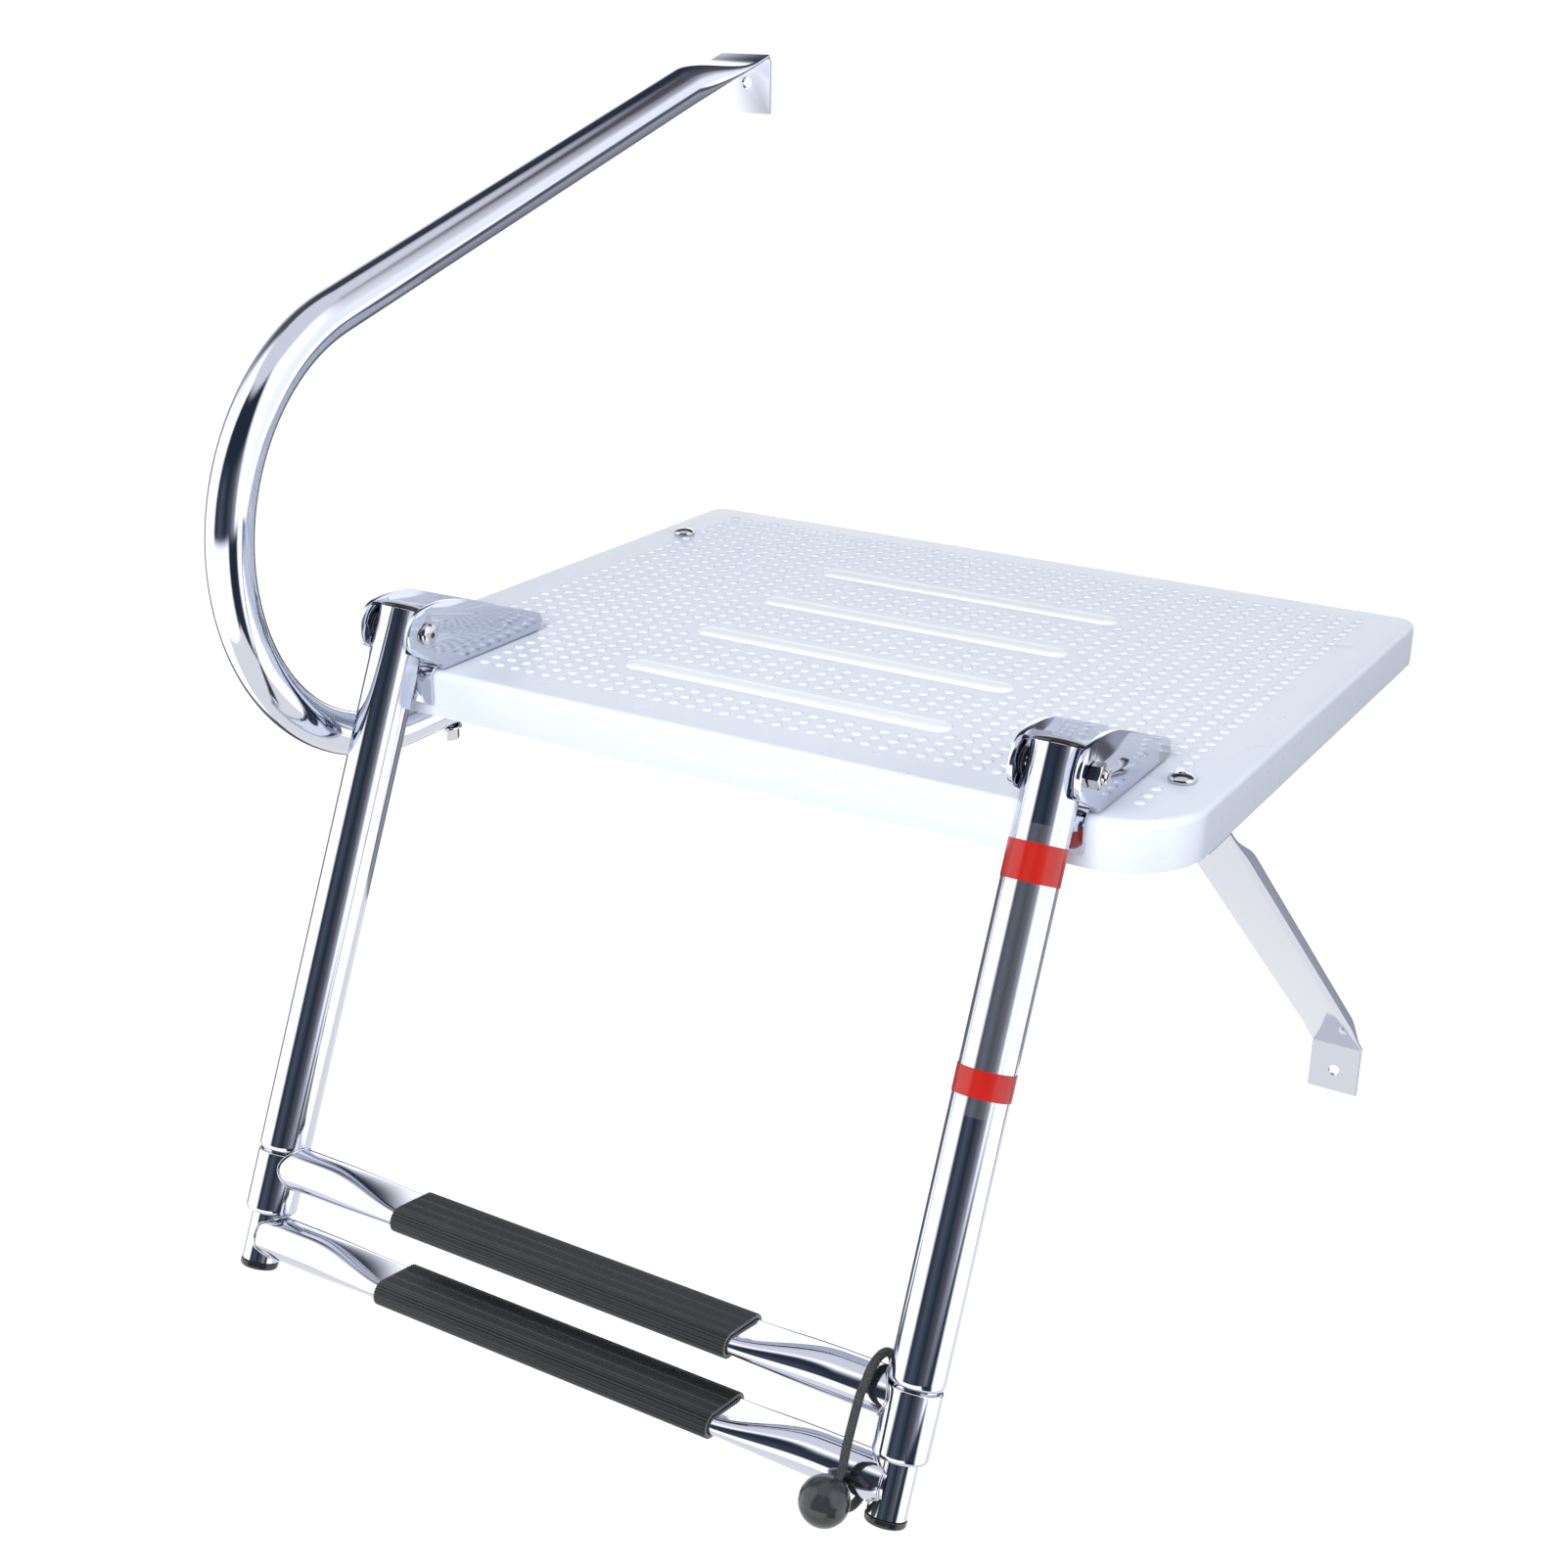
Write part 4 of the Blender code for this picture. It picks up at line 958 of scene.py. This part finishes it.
def make_outer_leg(side, x, place):
    """The fixed tube with its lower edge rolled in, and the plug in its top."""
    rim = OUTER_BOTTOM
    roll = 4 * MM
    profile = [(OUTER_R - 0.3 * MM, OUTER_TOP), (OUTER_R, OUTER_TOP - 0.3 * MM), (OUTER_R, rim + roll)]
    profile += [(OUTER_R - 1.6 * MM * (1 - cos(a)), rim + roll * (1 - sin(a))) for a in quarter(8, 1)]
    profile += [(OUTER_LIP_R, rim), (OUTER_LIP_R, rim + 3 * MM)]
    profile += [(OUTER_BORE_R, rim + roll), (OUTER_BORE_R, OUTER_TOP)]
    hole = rod(HOLE_R, (x - 20 * MM, 0, 0), (x + 20 * MM, 0, 0))
    hole.transform(LADDER)
    mesh = solved(lathe("outer_tube", profile, place), ("DIFFERENCE", hole))
    piece("outer_tube_" + side, mesh, "ladder_outer", "polished_steel", "outer_leg_" + side)

    top = OUTER_TOP + GAP
    plug_r = OUTER_R - 0.4 * MM
    stem_r = OUTER_BORE_R - GAP
    profile = [(plug_r * sin(a), top + 0.8 * MM + 3.2 * MM * cos(a)) for a in quarter(16)]
    profile += [(plug_r, top), (stem_r, top), (stem_r, top - 6 * MM), (0, top - 6 * MM)]
    mesh = lathe("top_plug", profile, place)
    piece("top_plug_" + side, mesh, "ladder_outer", "black_plastic", "leg_plug_" + side)


def make_middle_leg(side, place):
    """The sliding tube and the flanged collar on its foot."""
    low = COLLAR_BOTTOM + 3 * MM + GAP
    mesh = lathe("middle_tube", ring(MIDDLE_R, MIDDLE_BORE_R, low, MIDDLE_TOP, 0.2 * MM), place)
    piece("middle_tube_" + side, mesh, "middle_section", "polished_steel", "middle_leg_" + side)

    brim = 0.9 * MM
    profile = [(MIDDLE_R + 1.2 * MM, COLLAR_TOP)]
    profile += [(COLLAR_R - brim * (1 - sin(a)), COLLAR_TOP - brim * (1 - cos(a))) for a in quarter(6)]
    for a in quarter(8):
        profile.append((COLLAR_R - 2.2 * MM * (1 - cos(a)), COLLAR_BOTTOM + 3.4 * MM * (1 - sin(a))))
    profile += [(COLLAR_LIP_R, COLLAR_BOTTOM), (COLLAR_LIP_R, COLLAR_BOTTOM + 3 * MM)]
    profile += [(MIDDLE_R + GAP, COLLAR_BOTTOM + 3 * MM), (MIDDLE_R + GAP, COLLAR_TOP)]
    mesh = lathe("step_collar", profile, place)
    piece("step_collar_" + side, mesh, "middle_section", "polished_steel", "collar_" + side)


def make_inner_leg(side, place):
    """The thinnest tube and the cap on its foot."""
    mesh = lathe("inner_tube", ring(INNER_R, INNER_BORE_R, INNER_BOTTOM, INNER_TOP, 0.2 * MM), place)
    piece("inner_tube_" + side, mesh, "lower_section", "polished_steel", "inner_leg_" + side)

    rim = INNER_BOTTOM - GAP
    cap_r = INNER_R + 0.5 * MM
    stem_r = INNER_BORE_R - GAP
    profile = [(0, rim + 8 * MM), (stem_r, rim + 8 * MM), (stem_r, rim), (cap_r - 0.3 * MM, rim)]
    profile += [(cap_r, rim - 0.3 * MM), (cap_r, rim - 2.4 * MM)]
    for a in quarter(8, 1):
        profile.append((cap_r - 2 * MM * (1 - cos(a)), rim - 2.4 * MM - 2 * MM * sin(a)))
    profile += [(0, rim - 4.6 * MM)]
    mesh = lathe("foot_cap", profile, place)
    piece("foot_cap_" + side, mesh, "lower_section", "black_plastic", "end_cap_" + side)


def make_sleeve():
    """A clear film sleeve on the right leg with two plain red bands."""
    place = in_ladder(LEG_X)
    film = ring(OUTER_R + 0.22 * MM, OUTER_R + 0.06 * MM, SLEEVE[1], SLEEVE[0], 0.03 * MM)
    piece("sleeve_film", lathe("sleeve_film", film, place), "ladder_outer", "sleeve_film")
    for number, (top, bottom) in enumerate(SLEEVE_BANDS, 1):
        band = ring(OUTER_R + 0.4 * MM, OUTER_R + 0.26 * MM, bottom, top, 0.03 * MM)
        piece(f"sleeve_band_{number}", lathe("band", band, place), "ladder_outer", "sleeve_band")


def levelled(point):
    width, height = point
    return (
        width * cos(TREAD_LEVEL) - height * sin(TREAD_LEVEL),
        width * sin(TREAD_LEVEL) + height * cos(TREAD_LEVEL),
    )


def step_rings(radius, flat, reach):
    """Rings along X: round at the legs and pressed flat under the tread."""
    flat_x = TREAD_LENGTH / 2 - 6 * MM
    round_x = LEG_X - OUTER_R - 6 * MM
    half_list = [reach] + [flat_x + (round_x - flat_x) * i / 28 for i in range(28, -1, -1)]
    stations = half_list + [-x for x in reversed(half_list)]
    rings = []
    for x in stations:
        share = (abs(x) - flat_x) / (round_x - flat_x)
        half = flat + (radius * 0.999 - flat) * ease(share * STEP_SWELL)
        rings.append([(x, *levelled(point)) for point in pressed_section(radius, half)])
    return rings


def weld_line(side, leg_r):
    """Where a step tube meets a leg: points round the tube."""
    points = []
    count = 72
    for i in range(count):
        angle = 2 * pi * i / count
        y = STEP_R * cos(angle)
        inset = min(abs(y), leg_r * 0.985)
        x = LEG_X - leg_r * sin(acos(inset / leg_r)) - 0.4 * MM
        points.append((side * x, y, STEP_R * sin(angle)))
    return points


def tread_outline():
    """The tread's C section with fine ribs round its outside."""
    straight = (2 * pi * STEP_R - 2 * pi * STEP_FLAT) / 4
    inner_r = STEP_FLAT + 2 * GAP
    outer_r = inner_r + TREAD_WALL
    lip = 6 * MM
    quarter = straight + pi * outer_r + lip
    outer = []
    count = 190
    for i in range(-count, count + 1):
        s = quarter * i / count
        run = abs(s)
        ribbed = run < quarter - 2 * MM
        groove = TREAD_RIB_DEPTH * (0.5 - 0.5 * cos(2 * pi * s / TREAD_RIB_PITCH)) if ribbed else 0
        radius = outer_r - groove
        if run <= straight:
            point = (run, radius)
        elif run <= straight + pi * outer_r:
            angle = pi / 2 - (run - straight) / outer_r
            point = (straight + radius * cos(angle), radius * sin(angle))
        else:
            point = (straight - (run - straight - pi * outer_r), -radius)
        outer.append((point[0] if s >= 0 else -point[0], point[1]))
    inner = [(straight - lip, -inner_r)] + arc((straight, 0), inner_r, -pi / 2, pi / 2, 16)
    inner += [(-a, b) for a, b in reversed(inner)]
    return [levelled(point) for point in outer + inner]


def make_step(number, body, height, leg_r):
    place = in_ladder(0, height)
    tube = loft("step_tube", step_rings(STEP_R, STEP_FLAT, LEG_X))
    bore = loft("bore", step_rings(STEP_R - STEP_WALL, STEP_FLAT - STEP_WALL, LEG_X + MM))
    changes = [("DIFFERENCE", bore)]
    reach = 2 * STEP_R
    for side in (-1, 1):
        x = side * LEG_X
        changes.append(("DIFFERENCE", rod(leg_r + 1.2 * GAP, (x, 0, -reach), (x, 0, reach), FINE)))
    mesh = solved(tube, *changes)
    mesh.transform(place)
    piece(f"rung_{number}", mesh, body, "polished_steel", f"step_{number}_tube")
    for side, label in ((-1, "left"), (1, "right")):
        bead = sweep("weld", weld_line(side, leg_r), 0.9 * MM, 12, True, place)
        piece(f"weld_{number}_{label}", bead, body, "polished_steel", looks=["fastener_steel"])
    half = TREAD_LENGTH / 2
    tread = prism("tread", tread_outline(), -half, half, "X", place)
    ends = [polygon.index for polygon in tread.polygons if polygon.loop_total > 4]
    looks = ["tread_plastic", "tread_cut_end"]
    piece(f"tread_{number}", tread, body, "tread_plastic", f"step_{number}_tread", looks)
    for index in ends:
        tread.polygons[index].material_index = 1


def cord_line():
    """The loop's centre line in the ladder's frame, from the ball round both steps and back."""
    reach = STEP_R + CORD_R + 3 * GAP
    start = (BALL_CENTRE.y + 4 * MM, BALL_CENTRE.z + BALL_R + 2 * MM)
    front = [start, (-reach - 6.5 * MM, STEP_2 + 18 * MM), (-reach - 4.5 * MM, STEP_1 - 2 * MM)]
    over = arc((0, STEP_1 + MM), reach + 1.5 * MM, radians(165), radians(15), 8)
    back = [(reach + MM, STEP_1 - 8 * MM), (reach + MM, STEP_2 + 8 * MM)]
    under = arc((0, STEP_2 - 3 * MM), reach + MM, radians(-10), radians(-115), 6)
    line = [(CORD_X, y, z) for y, z in front + over + back + under]
    into_ball = BALL_CENTRE + Vector((1.5 * MM, MM, 9 * MM))
    by_ball = BALL_CENTRE + Vector((2.5 * MM, 14 * MM, -5.2 * MM))
    in_ball = BALL_CENTRE + Vector((1.5 * MM, 8 * MM, -3.5 * MM))
    return [into_ball, *line, by_ball, in_ball]


def make_cord():
    mesh = sweep("cord", smooth_line(cord_line()), CORD_R, 20, False, LADDER)
    cord = piece("shock_cord", mesh, None, "elastic_cord", "retaining_cord")
    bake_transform(cord)


def make_ball():
    """The ball on the cord, with its moulding seam."""
    profile = []
    for i in range(41):
        angle = pi * i / 40
        seam = 0.25 * MM if i == 20 else 0
        profile.append(((BALL_R - seam) * sin(angle), (BALL_R - seam) * cos(angle)))
    profile[0] = (0, BALL_R)
    profile[-1] = (0, -BALL_R)
    place = LADDER @ Matrix.Translation(BALL_CENTRE)
    mesh = lathe("toggle_ball", profile, place)
    piece("toggle_ball", mesh, "lower_section", "ball_plastic", "cord_ball")


def dress_cad_nodes():
    """Hidden guides keep their CAD shape and get the finished materials."""
    for side in ("left", "right"):
        for node in (f"guide_bush_{side}", f"guide_plug_{side}"):
            for material_slot in frame["nodes"][node].material_slots:
                material_slot.material = LOOKS["nylon"]


# --- stage


def make_world():
    """White for the camera; for reflections a white studio with a dark side behind the camera."""
    world = bpy.data.worlds.new("studio")
    bpy.context.scene.world = world
    world.use_nodes = True
    tree = world.node_tree
    tree.nodes.clear()

    def node(kind, **settings):
        made = tree.nodes.new(kind)
        for label, value in settings.items():
            setattr(made, label, value)
        return made

    def link(source, target):
        tree.links.new(source, target)

    place = node("ShaderNodeTexCoord")
    towards = Vector((CAMERA_AXES[0][2], CAMERA_AXES[1][2], 0)).normalized()
    rightwards = Vector((-towards.y, towards.x, 0))
    parts = []
    for axis in (rightwards, towards):
        product = node("ShaderNodeVectorMath", operation="DOT_PRODUCT")
        product.inputs[1].default_value = axis
        link(place.outputs["Generated"], product.inputs[0])
        parts.append(product.outputs["Value"])
    angle = node("ShaderNodeMath", operation="ARCTAN2")
    link(parts[0], angle.inputs[0])
    link(parts[1], angle.inputs[1])
    turn = node("ShaderNodeMath", operation="MULTIPLY_ADD")
    turn.inputs[1].default_value = 1 / (2 * pi)
    turn.inputs[2].default_value = 0.5
    link(angle.outputs["Value"], turn.inputs[0])

    def ring_of(stops):
        """Colours by azimuth, in degrees to the right of the camera's side."""
        ramp_node = node("ShaderNodeValToRGB")
        elements = ramp_node.color_ramp.elements
        for element, (_, colour) in zip(elements, (stops[0], stops[-1])):
            element.color = colour
        for degrees, colour in stops[1:-1]:
            elements.new(degrees / 360 + 0.5).color = colour
        link(turn.outputs["Value"], ramp_node.inputs["Fac"])
        return ramp_node.outputs["Color"]

    def above(degrees, width, lower, upper):
        """The lower colour up to a height, and the upper colour above it."""
        step = node("ShaderNodeMapRange", interpolation_type="SMOOTHSTEP")
        step.inputs["From Min"].default_value = sin(radians(degrees - width))
        step.inputs["From Max"].default_value = sin(radians(degrees + width))
        link(split.outputs["Z"], step.inputs["Value"])
        mix = node("ShaderNodeMix", data_type="RGBA")
        link(step.outputs["Result"], mix.inputs["Factor"])
        link(lower, mix.inputs["A"])
        link(upper, mix.inputs["B"])
        return mix.outputs["Result"]

    split = node("ShaderNodeSeparateXYZ")
    link(place.outputs["Generated"], split.inputs["Vector"])
    white = (1.75, 1.75, 1.78, 1)
    pale = (1.2, 1.22, 1.34, 1)
    grey = (0.45, 0.47, 0.55, 1)
    dim = (0.13, 0.13, 0.15, 1)
    dusk = (0.1, 0.12, 0.16, 1)
    dark = (0.025, 0.038, 0.06, 1)
    sky = (0.98, 0.97, 1.03, 1)
    # Each stop is an angle and a colour. The dark side is behind the camera.
    below = [(-180, dim), (-136, dim), (-125, white), (5, white), (12, dark), (44, dark), (52, white)]
    below += [(112, white), (115, dim), (123, dim), (126, grey), (180, dim)]
    walls = [(-180, white), (-150, grey), (-132, grey), (-124, white), (-66, white), (-57, dark)]
    walls += [(-34, dusk), (-10, dark), (14, dim), (30, grey), (37, white), (128, pale), (180, white)]
    valance = [(-180, dark), (-130, dim), (-110, white), (-66, white), (-57, dark), (25, dark)]
    valance += [(36, white), (85, white), (118, dim), (180, dark)]
    ceiling = ring_of([(-180, sky), (180, sky)])
    overhead = above(58, 5, above(24, 8, ring_of(walls), ring_of(valance)), ceiling)
    surroundings = above(-4, 3, ring_of(below), overhead)

    studio = node("ShaderNodeBackground")
    link(surroundings, studio.inputs["Color"])
    soft = node("ShaderNodeBackground")
    soft.inputs["Color"].default_value = (0.94, 0.97, 1.0, 1)
    soft.inputs["Strength"].default_value = 0.27
    plain = node("ShaderNodeBackground")
    plain.inputs["Color"].default_value = (1, 1, 1, 1)
    plain.inputs["Strength"].default_value = 1.1
    rays = node("ShaderNodeLightPath")
    lit = node("ShaderNodeMixShader")
    link(rays.outputs["Is Diffuse Ray"], lit.inputs["Fac"])
    link(studio.outputs["Background"], lit.inputs[1])
    link(soft.outputs["Background"], lit.inputs[2])
    choice = node("ShaderNodeMixShader")
    link(rays.outputs["Is Camera Ray"], choice.inputs["Fac"])
    link(lit.outputs["Shader"], choice.inputs[1])
    link(plain.outputs["Background"], choice.inputs[2])
    output = node("ShaderNodeOutputWorld")
    link(choice.outputs["Shader"], output.inputs["Surface"])


def make_floor():
    material, tree, shader = new_material("floor", (0.05, 0.05, 0.052), 0.8)
    shader.inputs["Emission Color"].default_value = (1, 1, 1, 1)
    shader.inputs["Emission Strength"].default_value = 1.02
    tint(tree, noise(tree, 3, 2), (0.04, 0.04, 0.042), (0.05, 0.05, 0.052))
    bm = bmesh.new()
    corners = [bm.verts.new((x, y, FLOOR_Z)) for x, y in FLOOR_CORNERS]
    bm.faces.new(corners)
    floor = bpy.data.objects.new("floor", mesh_from(bm, "floor"))
    bpy.context.scene.collection.objects.link(floor)
    floor.data.materials.append(material)


def make_light(name, place, target, size, power):
    light = bpy.data.lights.new(name, "AREA")
    light.shape = "SQUARE"
    light.size = size
    light.energy = power
    obj = bpy.data.objects.new(name, light)
    bpy.context.scene.collection.objects.link(obj)
    obj.location = place
    obj.rotation_euler = (Vector(target) - Vector(place)).to_track_quat("-Z", "Y").to_euler()
    obj.visible_glossy = False


def make_camera():
    data = bpy.data.cameras.new("camera")
    data.lens = CAMERA_LENS
    data.sensor_width = 36
    camera = bpy.data.objects.new("camera", data)
    bpy.context.scene.collection.objects.link(camera)
    camera.matrix_world = Matrix.Translation(CAMERA_PLACE) @ CAMERA_AXES.to_4x4()
    bpy.context.scene.camera = camera


bpy.context.scene.view_settings.view_transform = "Standard"
make_camera()
make_world()
make_floor()
make_light("key", (0.3, -1.9, 0.9), (0, -0.46, 0), 0.9, 32)
make_light("fill", (2.2, -0.4, 0.8), (0, -0.3, 0), 1.2, 15)

make_deck()
make_dots()
make_ribs()
make_bolt_mark()
make_bracket("left", -LEG_X)
make_bracket("right", LEG_X)
make_fasteners()
make_pivots()
make_rail()
make_strut()
for leg_side, leg_x in (("left", -LEG_X), ("right", LEG_X)):
    make_outer_leg(leg_side, leg_x, in_ladder(leg_x))
    make_middle_leg(leg_side, in_ladder(leg_x))
    make_inner_leg(leg_side, in_ladder(leg_x))
make_sleeve()
make_step(1, "middle_section", STEP_1, COLLAR_R)
make_step(2, "lower_section", STEP_2, INNER_R)
make_cord()
make_ball()
dress_cad_nodes()
